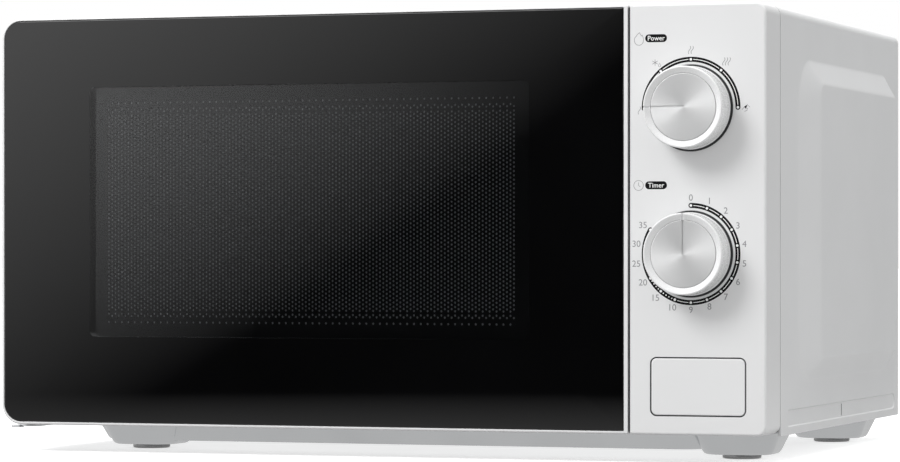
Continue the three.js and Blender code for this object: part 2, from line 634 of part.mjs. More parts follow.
function transformerCore() {
  const stack = block(128, 214, 92, 164, 22, 52);
  const feet = [128, 202].map((x) => block(x, x + 12, 92, 164, 1.6, 23));
  return cut(join(stack, ...feet), block(143, 199, 104, 120, 20, 54), block(143, 199, 136, 152, 20, 54));
}

function transformerCoil() {
  const winding = extrude(roundedShape(104.4, 151.6, 7, 67, 6, 3), 'x', 144, 198);
  return cut(winding, block(143, 199, 119.7, 136.3, 21.7, 52.3));
}

function capacitor() {
  const can = extrude(roundedShape(128, 162, 3, 50, 16), 'y', 180, 276);
  const tabs = [138, 148].map((x) => block(x, x + 5, 172, 181, 26, 26.8));
  return join(can, ...tabs);
}

function diode() {
  const body = rod('y', 178, 8, 4, 196, 216, 12);
  const lead = rod('y', 178, 8, 0.8, 186, 228, 8);
  const ring = cut(rod('z', 178, 231, 4.5, 7.4, 8.6, 16), rod('z', 178, 231, 2.2, 7, 9, 12));
  return join(body, lead, ring);
}

function filterBoard() {
  const board = block(130, 214, 196, 284, 209, 210.6);
  const choke = rod('y', 150, 216, 6, 206, 232, 16);
  const suppressor = block(168, 196, 204, 222, 210, 222);
  const fuse = rod('y', 204, 214, 3.5, 240, 270, 12);
  const relay = block(140, 160, 246, 274, 210, 222);
  const legPlaces = [[134, 200], [210, 200], [134, 280], [210, 280]];
  const legs = legPlaces.map(([x, y]) => rod('z', x, y, 2, 206.6, 209.5, 8));
  return join(board, choke, suppressor, fuse, relay, ...legs);
}

function thermalCutout() {
  const can = rod('z', -60, 150, 8, CAVITY.z1 + 1.3, CAVITY.z1 + 8, 20);
  const tabs = [-67, -56].map((x) => block(x, x + 5, 140, 160, CAVITY.z1 + 6, CAVITY.z1 + 6.8));
  return join(can, ...tabs);
}

// ---- cooling ------------------------------------------------------------------------------------
function fanShroud() {
  const { x, z } = FAN;
  const plate = block(x - 45, x + 45, 300, 302, z - 46, z + 46);
  const ring = rod('y', x, z, 42.5, 289, 312, 28);
  return cut(join(plate, ring), rod('y', x, z, 40.5, 288, 313, 28));
}

function fanBlade() {
  const { x, z, radius } = FAN;
  const hub = rod('y', x, z, 11, 293, 307, 20);
  const shaft = rod('y', x, z, 2, 279, 294, 12);
  const blades = [0, 1, 2, 3, 4].map((i) => block(9, radius, -1, 1, -10, 10)
    .rotateX(0.6).translate(0, 300, 0).rotateY((i * 2 * Math.PI) / 5).translate(x, 0, z));
  return join(hub, shaft, ...blades);
}

function fanMotor() {
  const { x, z } = FAN;
  const stack = block(x - 24, x + 24, 264, 280, z - 20, z + 20);
  const bearing = rod('y', x, z, 9, 279, 286, 16);
  const coil = block(x - 13, x + 13, 260, 284, z - 34, z - 19);
  const strap = block(-56, 56, 284.5, 286, -5, 5).rotateY(-Math.PI / 4).translate(x, 0, z);
  const posts = [-1, 1].map((side) => rod('y', x + side * 38, z + side * 38, 3, 285, 299.7, 10));
  const bore = rod('y', x, z, 2.3, 276, 288, 12);
  return cut(join(stack, bearing, coil, strap, ...posts), bore);
}

function airDuct() {
  const duct = block(119.4, 217, 68, 104, 132, 206);
  return cut(duct, block(118, 215.5, 69.5, 105, 133.5, 204.5));
}

function lampHolder() {
  const box = cut(block(119.4, 150, 228, 260, 134, 188), block(118, 148.8, 229.2, 258.8, 135.2, 186.8));
  const socket = rod('z', 134, 244, 7, 134.5, 143, 16);
  return join(box, socket);
}

function lamp() {
  return turnUpright([
    [0, 143.4], [5, 143.4], [5, 149], [9, 156], [9.6, 163], [7, 171], [3, 174.5], [0, 175],
  ], 134, 244, 14);
}

// ---- everything in its place --------------------------------------------------------------------
addPiece('cabinet', cabinet(), WHITE_PAINT);
addPiece('base_plate', basePlate(), ZINC_STEEL);
for (const [name, place] of Object.entries(FEET)) addPiece(name, foot(place), GREY_RUBBER);
addPiece('rear_panel', rearPanel(), ZINC_STEEL);
addPiece('rear_screw_left', rearScrew(205), SPRING_STEEL);
addPiece('rear_screw_right', rearScrew(-205), SPRING_STEEL);
addPiece('cord_gland', cordGland(), DARK_PLASTIC);
addPiece('cavity', cavity(), CAVITY_ENAMEL);
addPiece('front_plate', frontPlate(), CAVITY_ENAMEL);
const lowerArm = hingeBracket(-1.5, -0.6, [-1, 9.5], [-1, -0.3]);
const doorStop = block(HINGE.x - 8.5, HINGE.x - 3.5, 8, 14, -2.2, -0.6);
addPiece('hinge_bracket_lower', join(lowerArm, doorStop), ZINC_STEEL);
addPiece('hinge_bracket_upper', hingeBracket(223.4, 225.2, [213, 224], [225, 227.8]), ZINC_STEEL);
addPiece('control_panel', controlPanel(), WHITE_PLASTIC);
addPiece('timer_unit', timerUnit(), GREY_PLASTIC);
addPiece('power_selector', powerSelector(), GREY_PLASTIC);
addPiece('latch_board', latchBoard(), GREY_PLASTIC);
addPiece('door_switch_primary', doorSwitch(60), DARK_PLASTIC);
addPiece('door_switch_monitor', doorSwitch(96), DARK_PLASTIC);
addPiece('door_switch_secondary', doorSwitch(132), DARK_PLASTIC);
addPiece('magnetron', magnetron(), ZINC_STEEL);
addPiece('waveguide', waveguide(), ZINC_STEEL);
addPiece('waveguide_cover', waveguideCover(), MICA);
addPiece('transformer_core', transformerCore(), LAMINATION);
addPiece('transformer_coil', transformerCoil(), COPPER);
addPiece('capacitor', capacitor(), ZINC_STEEL);
addPiece('diode', diode(), DARK_PLASTIC);
addPiece('filter_board', filterBoard(), CIRCUIT_BOARD);
addPiece('thermal_cutout', thermalCutout(), DARK_PLASTIC);
addPiece('fan_shroud', fanShroud(), DARK_PLASTIC);
addPiece('fan_motor', fanMotor(), LAMINATION);
addPiece('fan_blade', fanBlade(), GREY_PLASTIC);
addPiece('air_duct', airDuct(), DARK_PLASTIC);
addPiece('lamp_holder', lampHolder(), ZINC_STEEL);
addPiece('lamp', lamp(), CLEAR_GLASS);
addPiece('turntable_motor', turntableMotor(), ZINC_STEEL);
addPiece('drive_coupler', driveCoupler(), GREY_PLASTIC);
addPiece('roller_ring', rollerRing(), GREY_PLASTIC);
for (const i of [0, 1, 2]) addPiece(`roller_${i + 1}`, roller(i), GREY_PLASTIC);
addPiece('turntable_plate', turntablePlate(), CLEAR_GLASS);

addPiece('door_frame', doorFrame(), WHITE_PLASTIC);
addPiece('door_glass', doorGlass(), BLACK_GLASS);
addPiece('door_screen', doorScreen(), BLACK_PAINT);
addPiece('door_film', doorFilm(), PALE_FILM);
addPiece('door_back_cover', doorBackCover(), BLACK_PAINT);
addPiece('latch_hook', latchHook(), GREY_PLASTIC);
const latchSpringEnds = [new THREE.Vector3(134.5, 17.5, 4.8), new THREE.Vector3(134.5, 17.5, 29.3)];
addPiece('latch_spring', coilSpring(...latchSpringEnds, 3, 0.4, 6), SPRING_STEEL);

addPiece('power_knob', knob(KNOB.powerZ, Math.PI), WHITE_PLASTIC);
addPiece('power_knob_cap', knobCap(KNOB.powerZ, Math.PI), SPUN_METAL);
addPiece('power_shaft', knobShaft(KNOB.powerZ), GREY_PLASTIC);
addPiece('timer_knob', knob(KNOB.timerZ, Math.PI / 2), WHITE_PLASTIC);
addPiece('timer_knob_cap', knobCap(KNOB.timerZ, Math.PI / 2), SPUN_METAL);
addPiece('timer_shaft', knobShaft(KNOB.timerZ), GREY_PLASTIC);
addPiece('release_button', releaseButton(), WHITE_PLASTIC);
const releaseSpringEnds = [new THREE.Vector3(195, 4.8, 24), new THREE.Vector3(195, 27.6, 24)];
addPiece('release_spring', coilSpring(...releaseSpringEnds, 4, 0.4, 6), SPRING_STEEL);
addPiece('release_lever', releaseLever(), GREY_PLASTIC);

export default oven;
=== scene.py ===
"""Looks of the microwave oven: fine surfaces, materials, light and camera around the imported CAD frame."""
import json
import math

import bmesh
import bpy
from mathutils import Matrix, Vector


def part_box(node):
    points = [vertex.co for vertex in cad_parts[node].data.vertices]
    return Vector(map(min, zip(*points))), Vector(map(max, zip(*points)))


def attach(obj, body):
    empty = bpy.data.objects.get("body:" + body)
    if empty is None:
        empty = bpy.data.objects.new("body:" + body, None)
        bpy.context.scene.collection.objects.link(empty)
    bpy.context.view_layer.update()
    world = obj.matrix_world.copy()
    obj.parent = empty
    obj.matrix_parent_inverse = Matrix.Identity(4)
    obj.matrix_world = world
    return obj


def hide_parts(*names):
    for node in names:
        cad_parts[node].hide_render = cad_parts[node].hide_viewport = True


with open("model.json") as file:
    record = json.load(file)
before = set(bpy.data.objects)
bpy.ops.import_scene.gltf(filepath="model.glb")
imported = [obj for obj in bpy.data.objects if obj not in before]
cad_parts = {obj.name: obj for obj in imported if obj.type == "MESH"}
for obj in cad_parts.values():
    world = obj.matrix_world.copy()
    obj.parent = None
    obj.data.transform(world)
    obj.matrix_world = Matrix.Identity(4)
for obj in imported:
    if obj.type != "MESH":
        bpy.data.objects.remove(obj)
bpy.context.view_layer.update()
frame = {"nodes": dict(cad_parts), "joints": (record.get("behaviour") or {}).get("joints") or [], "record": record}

NODES = frame["nodes"]
BODY_OF = {node: body for body, nodes in frame["record"]["behaviour"]["bodies"].items() for node in nodes}

# ---- the front frame, in millimetres: x 0 in the middle, y 0 on the front face, z 0 on its bottom edge ----
MM = 0.001
FRONT_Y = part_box("door_glass")[0].y
BASE_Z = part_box("control_panel")[0].z
TO_ROW = Matrix.Translation((0, FRONT_Y, BASE_Z)) @ Matrix.Diagonal((MM, MM, MM, 1))
TO_FRONT = TO_ROW.inverted()


def node_box(node):
    """A CAD node's box in the front frame, in millimetres."""
    low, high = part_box(node)
    return TO_FRONT @ low, TO_FRONT @ high


# ---- sizes taken from the frame ----
DOOR_LOW, DOOR_HIGH = node_box("door_frame")
GLASS_LOW, GLASS_HIGH = node_box("door_glass")
PANEL_LOW, PANEL_HIGH = node_box("control_panel")
WRAP_LOW, WRAP_HIGH = node_box("cabinet")
SCREEN_LOW, SCREEN_HIGH = node_box("door_screen")
COVER_DEPTH = node_box("door_back_cover")[1].y
PLATE_FACE = node_box("front_plate")[0].y
BASE_LOW, BASE_HIGH = node_box("base_plate")
REAR_LOW, REAR_HIGH = node_box("rear_panel")
FRONT_HEIGHT = PANEL_HIGH.z
HALF_WIDTH = PANEL_HIGH.x
SHEET = 1.2
GAP = 0.3


def node_middle(node):
    low, high = node_box(node)
    return (low + high) / 2


POWER = node_middle("power_knob")
TIMER = node_middle("timer_knob")


def joint_place(name):
    return next(TO_FRONT @ Vector(j["pos_m"]) for j in frame["joints"] if j["name"] == name)


TURNTABLE = joint_place("coupler_spin")

# ---- mesh building ----
SMALLEST_RADIUS = 0.04
PLANES = {
    "x": lambda u, v, h: (h, u, v),
    "y": lambda u, v, h: (u, h, v),
    "z": lambda u, v, h: (u, v, h),
}


def outline(rect, corners, inset=0.0, steps=10):
    """Points of a rectangle (u0, u1, v0, v1) with rounded corners, moved inwards by inset.
    Corners are left bottom, right bottom, right top, left top."""
    u0, u1, v0, v1 = rect
    radii = corners if isinstance(corners, (list, tuple)) else [corners] * 4
    u0, u1, v0, v1 = u0 + inset, u1 - inset, v0 + inset, v1 - inset
    places = ((u0, v0, 1, 1), (u1, v0, -1, 1), (u1, v1, -1, -1), (u0, v1, 1, -1))
    points = []
    for corner, ((u, v, in_u, in_v), radius) in enumerate(zip(places, radii)):
        r = max(radius - inset, SMALLEST_RADIUS)
        for step in range(steps + 1):
            angle = math.pi * (1 + corner / 2 + step / steps / 2)
            points.append((u + r * (in_u + math.cos(angle)), v + r * (in_v + math.sin(angle))))
    return points


def ring(axis, points, height):
    place = PLANES[axis]
    return [place(u, v, height) for u, v in points]


def cleaned(mesh, weld=1e-4, flatten=False):
    """The mesh with its doubled points welded and its faces looking outwards."""
    bm = bmesh.new()
    bm.from_mesh(mesh)
    bmesh.ops.remove_doubles(bm, verts=bm.verts, dist=weld)
    if flatten:
        bmesh.ops.dissolve_limit(bm, angle_limit=math.radians(0.5), verts=bm.verts, edges=bm.edges)
    bmesh.ops.recalc_face_normals(bm, faces=bm.faces)
    bm.to_mesh(mesh)
    bm.free()
    return mesh


def mesh_from(verts, faces):
    mesh = bpy.data.meshes.new("form")
    mesh.from_pydata([tuple(v) for v in verts], [], faces)
    return cleaned(mesh)


def linked(name, data):
    obj = bpy.data.objects.new(name, data)
    bpy.context.scene.collection.objects.link(obj)
    return obj


def baked(obj, *helpers):
    """The object's mesh with its modifiers applied; the object and its helpers are removed."""
    mesh = bpy.data.meshes.new_from_object(obj.evaluated_get(bpy.context.evaluated_depsgraph_get()))
    for used in (obj, *helpers):
        bpy.data.objects.remove(used)
    return mesh


def rings_mesh(rings, loop=False, start=True, end=True):
    """A skin over rings with equal counts; the ends are closed flat, or joined when loop is true."""
    count = len(rings[0])
    verts = [p for r in rings for p in r]
    faces = []
    pairs = list(zip(range(len(rings) - 1), range(1, len(rings))))
    if loop:
        pairs.append((len(rings) - 1, 0))
    for a, b in pairs:
        for i in range(count):
            j = (i + 1) % count
            faces.append((a * count + i, a * count + j, b * count + j, b * count + i))
    if not loop:
        if start:
            faces.append(tuple(range(count))[::-1])
        if end:
            last = (len(rings) - 1) * count
            faces.append(tuple(range(last, last + count)))
    return mesh_from(verts, faces)


def fillet(radius, steps=4):
    """(inset, height) pairs of a quarter round, from the face inwards to the side."""
    return [(radius * (1 - math.sin(k / steps * math.pi / 2)),
             radius * (1 - math.cos(k / steps * math.pi / 2)))
            for k in range(steps + 1)]


def slab(axis, rect, corners, low, high, front=0.4, back=0.4, steps=10):
    """A plate between two heights with rounded front and back edges."""
    rings = [ring(axis, outline(rect, corners, inset, steps), low + h) for inset, h in fillet(front)]
    rings += [ring(axis, outline(rect, corners, inset, steps), high - h)
              for inset, h in reversed(fillet(back))]
    return rings_mesh(rings)


def flared(axis, rect, corners, low, high, mouth=0.3, at=None, towards=-1, steps=10):
    """A cutter whose end at height `at` widens by a quarter round, which gives the hole a soft edge."""
    at = low if at is None else at
    near = [(-(mouth * (1 - math.sin(k / 4 * math.pi / 2))), mouth * (1 - math.cos(k / 4 * math.pi / 2)))
            for k in range(5)]
    rings = [ring(axis, outline(rect, corners, near[0][0], steps), at + towards * 1.0)]
    rings += [ring(axis, outline(rect, corners, d, steps), at - towards * h) for d, h in near]
    rings.append(ring(axis, outline(rect, corners, 0, steps), high if towards < 0 else low))
    return rings_mesh(rings)


def box_mesh(x0, x1, y0, y1, z0, z1):
    return rings_mesh([ring("z", [(x0, y0), (x1, y0), (x1, y1), (x0, y1)], z) for z in (z0, z1)])


def circle(u, v, radius, count, start=0.0):
    """Points round a circle from a start angle in degrees."""
    angles = [math.radians(start) + 2 * math.pi * k / count for k in range(count)]
    return [(u + radius * math.cos(a), v + radius * math.sin(a)) for a in angles]


def lathe(axis, profile, centre, segments=96):
    """A profile of (radius, height) points turned about an axis that passes through centre."""
    place = PLANES[axis]
    verts, faces, rows = [], [], []
    closed = profile[0] == profile[-1]
    points = profile[:-1] if closed else profile
    for radius, height in points:
        if radius < 1e-6:
            rows.append([len(verts)] * segments)
            verts.append(place(centre[0], centre[1], height))
        else:
            rows.append(list(range(len(verts), len(verts) + segments)))
            verts += [place(u, v, height) for u, v in circle(*centre, radius, segments)]
    order = list(zip(rows, rows[1:])) + ([(rows[-1], rows[0])] if closed else [])
    for a, b in order:
        for i in range(segments):
            j = (i + 1) % segments
            face = tuple(dict.fromkeys((a[i], a[j], b[j], b[i])))
            if len(face) > 2:
                faces.append(face)
    return mesh_from(verts, faces)


def rod(axis, u, v, radius, low, high, segments=32, edge=0.0):
    if edge:
        profile = [(0, low), (radius - edge, low), (radius, low + edge), (radius, high - edge),
                   (radius - edge, high), (0, high)]
    else:
        profile = [(0, low), (radius, low), (radius, high), (0, high)]
    return lathe(axis, profile, (u, v), segments)


def curve_points(points, steps=6):
    """A Catmull-Rom line through (a, b) points, for profiles."""
    out = []
    for i in range(len(points) - 1):
        p0 = Vector(points[max(i - 1, 0)])
        p1, p2 = Vector(points[i]), Vector(points[i + 1])
        p3 = Vector(points[min(i + 2, len(points) - 1)])
        for s in range(steps):
            t = s / steps
            out.append(tuple(0.5 * ((2 * p1) + (p2 - p0) * t + (2 * p0 - 5 * p1 + 4 * p2 - p3) * t * t
                                    + (3 * p1 - p0 - 3 * p2 + p3) * t ** 3)))
    out.append(tuple(points[-1]))
    return out


def merged(*meshes):
    """Several closed meshes side by side in one mesh, without joining their volumes."""
    bm = bmesh.new()
    for mesh in meshes:
        bm.from_mesh(mesh)
    out = bpy.data.meshes.new("form")
    bm.to_mesh(out)
    bm.free()
    return out


def boolean(mesh, tools, operation):
    base = linked("work", mesh)
    helpers = [linked("tool", tool) for tool in tools]
    for helper in helpers:
        modifier = base.modifiers.new("cut", "BOOLEAN")
        modifier.object = helper
        modifier.operation = operation
        modifier.solver = "MANIFOLD"
    return baked(base, *helpers)


def cut(mesh, *tools):
    return boolean(mesh, tools, "DIFFERENCE")


def join(mesh, *tools):
    return boolean(mesh, tools, "UNION")


def moved(mesh, matrix):
    mesh.transform(matrix)
    return mesh


def cad_mesh(node):
    """A copy of a CAD node's mesh in the front frame, with its flat faces made whole again."""
    return cleaned(moved(NODES[node].data.copy(), TO_FRONT), 1e-3, flatten=True)


SMOOTH_BELOW = math.radians(38)


def piece(name, mesh, body, material, slot=None, replaces=(), bevel=0.0, smooth=SMOOTH_BELOW):
    """Puts a mesh built in the front frame into the scene and lets it ride on its body."""
    mesh.transform(TO_ROW)
    mesh.name = name
    obj = linked(name, mesh)
    mesh.materials.clear()
    mesh.materials.append(material)
    for polygon in mesh.polygons:
        polygon.use_smooth = True
        polygon.material_index = 0
    if bevel:
        modifier = obj.modifiers.new("edges", "BEVEL")
        modifier.width = bevel * MM
        modifier.segments = 2
        modifier.limit_method = "ANGLE"
        modifier.angle_limit = math.radians(40)
        modifier.use_clamp_overlap = True
        modifier.harden_normals = False
    else:
        mesh.set_sharp_from_angle(angle=smooth)
    weighted = obj.modifiers.new("normals", "WEIGHTED_NORMAL")
    weighted.keep_sharp = True
    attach(obj, body)
    if replaces:
        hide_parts(*replaces)
    return obj


def recast(node, material, slot, bevel=0.35):
    """A CAD node of the right shape, given soft edges."""
    return piece(node + "_fine", cad_mesh(node), BODY_OF[node], material, slot, (node,), bevel=bevel)


# ---- materials ----
def feed(tree, node, inputs):
    """Gives a node's inputs constants, or other nodes' outputs."""
    for key, value in inputs.items():
        if isinstance(value, bpy.types.NodeSocket):
            tree.links.new(value, node.inputs[key])
        else:
            node.inputs[key].default_value = value


def add(tree, kind, inputs=None, **settings):
    node = tree.nodes.new("ShaderNode" + kind)
    for key, value in settings.items():
        setattr(node, key, value)
    feed(tree, node, inputs or {})
    return node


def maths(tree, operation, *values):
    return add(tree, "Math", dict(enumerate(values)), operation=operation).outputs["Value"]


def remap(tree, source, low, high, out_low, out_high, curve="LINEAR"):
    inputs = {"Value": source, "From Min": low, "From Max": high, "To Min": out_low, "To Max": out_high}
    return add(tree, "MapRange", inputs, interpolation_type=curve).outputs["Result"]


def new_material(name):
    """(material, its tree, its shader, the place on the piece)"""
    material = bpy.data.materials.new(name)
    material.use_nodes = True
    tree = material.node_tree
    return material, tree, tree.nodes["Principled BSDF"], add(tree, "TexCoord").outputs["Object"]


def noise(tree, place, size, detail=3.0, stretch=None):
    """Noise with features of about `size` metres, longer along the axes whose stretch is small."""
    if stretch:
        place = add(tree, "Mapping", {"Vector": place, "Scale": stretch}).outputs["Vector"]
    return add(tree, "TexNoise", {"Vector": place, "Scale": 1.0 / size, "Detail": detail}).outputs["Fac"]


def clouded(tree, place, size, colour, shares, ends=(0.0, 1.0)):
    """The colour in soft clouds between two shares of itself."""
    ramp = add(tree, "ValToRGB", {"Fac": noise(tree, place, size)})
    for element, end, share in zip(ramp.color_ramp.elements, ends, shares):
        element.position = end
        element.color = (*[min(1.0, c * share) for c in colour], 1)
    return ramp.outputs["Color"]


def surface(name, colour, roughness, metallic=0.0, mottle=0.03, mottle_size=0.05, spread=0.05,
            grain=0.15, grain_size=0.0012, stretch=None, **sockets):
    """A moulded, painted or metal surface: cloudy colour, uneven gloss and a fine grain in the bump."""
    material, tree, shader, place = new_material(name)
    colours = clouded(tree, place, mottle_size, colour, (1 - mottle, 1 + mottle), CLOUD_ENDS)
    fine = noise(tree, place, grain_size, 2.0, stretch)
    gloss = remap(tree, fine, *CLOUD_ENDS, max(0.01, roughness - spread), min(1.0, roughness + spread))
    bump = add(tree, "Bump", {"Strength": grain, "Distance": 0.0001, "Height": fine})
    feed(tree, shader, {"Base Color": colours, "Roughness": gloss, "Normal": bump.outputs["Normal"],
                        "Metallic": metallic, **sockets})
    return material


def spun_metal(name):
    """Turned aluminium: fine rings about the piece's middle, and a highlight that fans out across them."""
    material = surface(name, (0.70, 0.703, 0.706), 0.36, 0.6, mottle=0.02, grain=0.05, grain_size=0.0004,
                       Anisotropic=0.7)
    tree = material.node_tree
    place = tree.nodes["Texture Coordinate"].outputs["Object"]
    flat = add(tree, "VectorMath", {0: place, 1: (1, 0, 1)}, operation="MULTIPLY").outputs["Vector"]
    radius = add(tree, "VectorMath", {0: flat}, operation="LENGTH").outputs["Value"]
    wave = maths(tree, "SINE", maths(tree, "MULTIPLY", radius, 2 * math.pi / SPUN_RING_STEP))
    feed(tree, tree.nodes["Bump"], {"Height": wave, "Strength": 0.04})
    tangent = add(tree, "Tangent", direction_type="RADIAL", axis="Y")
    feed(tree, tree.nodes["Principled BSDF"], {"Tangent": tangent.outputs["Tangent"]})
    return material


def see_through(name, tint, ior=1.46, roughness=0.02, cloud=0.02):
    """Glass as a clear tint under a mirror that grows towards grazing angles."""
    material, tree, shader, place = new_material(name)
    clear = add(tree, "BsdfTransparent", {"Color": clouded(tree, place, 0.04, tint, (1 - cloud, 1))})
    shine = add(tree, "BsdfGlossy", {"Color": (1, 1, 1, 1), "Roughness": roughness})
    fresnel = add(tree, "Fresnel", {"IOR": ior})
    mix = add(tree, "MixShader", {"Fac": fresnel.outputs["Fac"], 1: clear.outputs["BSDF"],
                                  2: shine.outputs["BSDF"]})
    feed(tree, tree.nodes["Material Output"], {"Surface": mix.outputs["Shader"]})
    tree.nodes.remove(shader)
    return material


def frosted_film(name, colour, cover):
    """Thin milky film: partly a pale diffuser, partly clear."""
    material, tree, shader, place = new_material(name)
    colours = clouded(tree, place, 0.03, colour, (0.93, 1.0))
    feed(tree, shader, {"Base Color": colours, "Roughness": 0.45, "Alpha": cover})
    return material


CLOUD_ENDS = (0.3, 0.7)
SPUN_RING_STEP = 0.00035
M = {
    "white_paint": surface("cabinet_paint", (0.80, 0.805, 0.81), 0.42, grain=0.12, grain_size=0.0009,
                           mottle=0.012),
    "white_plastic": surface("white_moulding", (0.83, 0.832, 0.836), 0.34, grain=0.06, grain_size=0.0007,
                             mottle=0.01),
    "knob_plastic": surface("knob_moulding", (0.86, 0.862, 0.866), 0.27, grain=0.04, grain_size=0.0006,
                            mottle=0.01, **{"Coat Weight": 0.25}),
    "cavity_enamel": surface("cavity_enamel", (0.52, 0.53, 0.535), 0.45, grain=0.3, grain_size=0.002,
                             mottle=0.04),
    "black_paint": surface("screen_paint", (0.0025, 0.0025, 0.0028), 0.6, grain=0.05, mottle=0.1,
                           **{"Specular IOR Level": 0.12}),
    "black_plastic": surface("cover_moulding", (0.018, 0.018, 0.019), 0.42, grain=0.35, grain_size=0.0008,
                             mottle=0.12),
    "black_glass": surface("printed_glass", (0.0022, 0.0022, 0.0024), 0.025, spread=0.008, grain=0.0,
                           mottle=0.2, mottle_size=0.08),
    "zinc_steel": surface("zinc_steel", (0.66, 0.67, 0.68), 0.36, 1.0, mottle=0.03, spread=0.02, grain=0.02,
                          grain_size=0.0006, stretch=(0.1, 1, 1)),
    "base_steel": surface("base_steel", (0.66, 0.67, 0.68), 0.13, 1.0, mottle=0.04, spread=0.02, grain=0.02,
                          grain_size=0.0007, stretch=(0.1, 1, 1)),
    "spring_steel": surface("spring_steel", (0.56, 0.57, 0.58), 0.28, 1.0, mottle=0.08, grain=0.1),
    # dark plastic for real dark parts, also used as painted shade in the gaps round the button, the knobs and the
    # door
    "dark_plastic": surface("dark_moulding_and_painted_shade", (0.025, 0.026, 0.028), 0.5, grain=0.3, mottle=0.1),
    "grey_plastic": surface("grey_moulding", (0.6, 0.6, 0.585), 0.45, grain=0.12, mottle=0.03),
    "foot_rubber": surface("foot_rubber", (0.40, 0.40, 0.405), 0.30, 0.35, grain=0.1, grain_size=0.0006,
                           mottle=0.08),
    "copper_wire": surface("winding", (0.50, 0.19, 0.08), 0.35, 0.9, mottle=0.15, grain=0.9,
                           grain_size=0.0009, stretch=(0.1, 1, 1)),
    "lamination": surface("lamination", (0.12, 0.125, 0.13), 0.45, 0.7, mottle=0.1, grain=1.0,
                          grain_size=0.0008, stretch=(1, 0.05, 1)),
    "circuit_board": surface("circuit_board", (0.03, 0.13, 0.045), 0.4, mottle=0.25, mottle_size=0.006,
                             grain=0.3),
    "mica": surface("mica", (0.48, 0.40, 0.26), 0.4, mottle=0.2, mottle_size=0.008, grain=0.3),
    "print_black": surface("print_black", (0.004, 0.004, 0.0045), 0.5, grain=0.05, mottle=0.1,
                           **{"Specular IOR Level": 0.1}),
    "print_grey": surface("print_grey", (0.30, 0.30, 0.31), 0.45, grain=0.05, mottle=0.05),
    "print_white": surface("print_white", (0.9, 0.9, 0.9), 0.4, grain=0.05, mottle=0.01),
    "spun_metal": spun_metal("spun_metal"),
    "window": see_through("window_glass", (0.88, 0.89, 0.90)),
    "clear_glass": see_through("plate_glass", (0.90, 0.94, 0.93), roughness=0.03),
    "pale_film": frosted_film("window_film", (0.60, 0.607, 0.614), 0.75),
}


# ---- sheet metal skins ----
class Skin:
    """One sheet as a surface of loops, bridges and flat fills."""

    def __init__(self):
        self.bm = bmesh.new()

    def loop(self, points):
        return [self.bm.verts.new(p) for p in points]

    def bridge(self, a, b, closed=True):
        count = len(a)
        for i in range(count if closed else count - 1):
            j = (i + 1) % count
            self.bm.faces.new((a[i], a[j], b[j], b[i]))

    def stack(self, rings):
        loops = [self.loop(r) for r in rings]
        for a, b in zip(loops, loops[1:]):
            self.bridge(a, b)
        return loops

    def cap(self, loop):
        self.bm.faces.new(loop)

    def fill(self, *loops):
        """Flat faces inside the first loop and outside the others."""
        edges = []
        for loop in loops:
            for i in range(len(loop)):
                pair = (loop[i], loop[(i + 1) % len(loop)])
                edges.append(self.bm.edges.get(pair) or self.bm.edges.new(pair))
        bmesh.ops.triangle_fill(self.bm, use_beauty=True, use_dissolve=False, edges=edges)

    def mesh(self, out_point, out_normal, thickness):
        """The skin with its thickness added behind it; the face nearest out_point looks along out_normal."""
        bm = self.bm
        bmesh.ops.remove_doubles(bm, verts=bm.verts, dist=1e-3)
        bmesh.ops.recalc_face_normals(bm, faces=bm.faces)
        nearest = min(bm.faces, key=lambda f: (f.calc_center_median() - Vector(out_point)).length)
        if nearest.normal.dot(Vector(out_normal)) < 0:
            bmesh.ops.reverse_faces(bm, faces=bm.faces)
        mesh = bpy.data.meshes.new("skin")
        bm.to_mesh(mesh)
        bm.free()
        return thickened(mesh, thickness)


def thickened(mesh, thickness):
    base = linked("work", mesh)
    solidify = base.modifiers.new("thickness", "SOLIDIFY")
    solidify.thickness = thickness
    solidify.offset = -1.0
    solidify.use_even_offset = True
    solidify.use_quality_normals = True
    return baked(base)


def slope(t, ease=0.32):
    """Height share along a pressed slope: rounded at its foot and at its shoulder, straight between."""
    steep = 1 / (1 - ease)
    if t < ease:
        return steep * t * t / (2 * ease)
    if t > 1 - ease:
        return 1 - steep * (1 - t) ** 2 / (2 * ease)
    return steep * (t - ease / 2)


def pressed_rings(axis, foot, flat, base, height, steps=12, ease=0.32):
    rings = []
    for k in range(steps + 1):
        t = k / steps
        points = [(a[0] + (b[0] - a[0]) * t, a[1] + (b[1] - a[1]) * t) for a, b in zip(foot, flat)]
        rings.append(ring(axis, points, base + height * slope(t, ease)))
    return rings


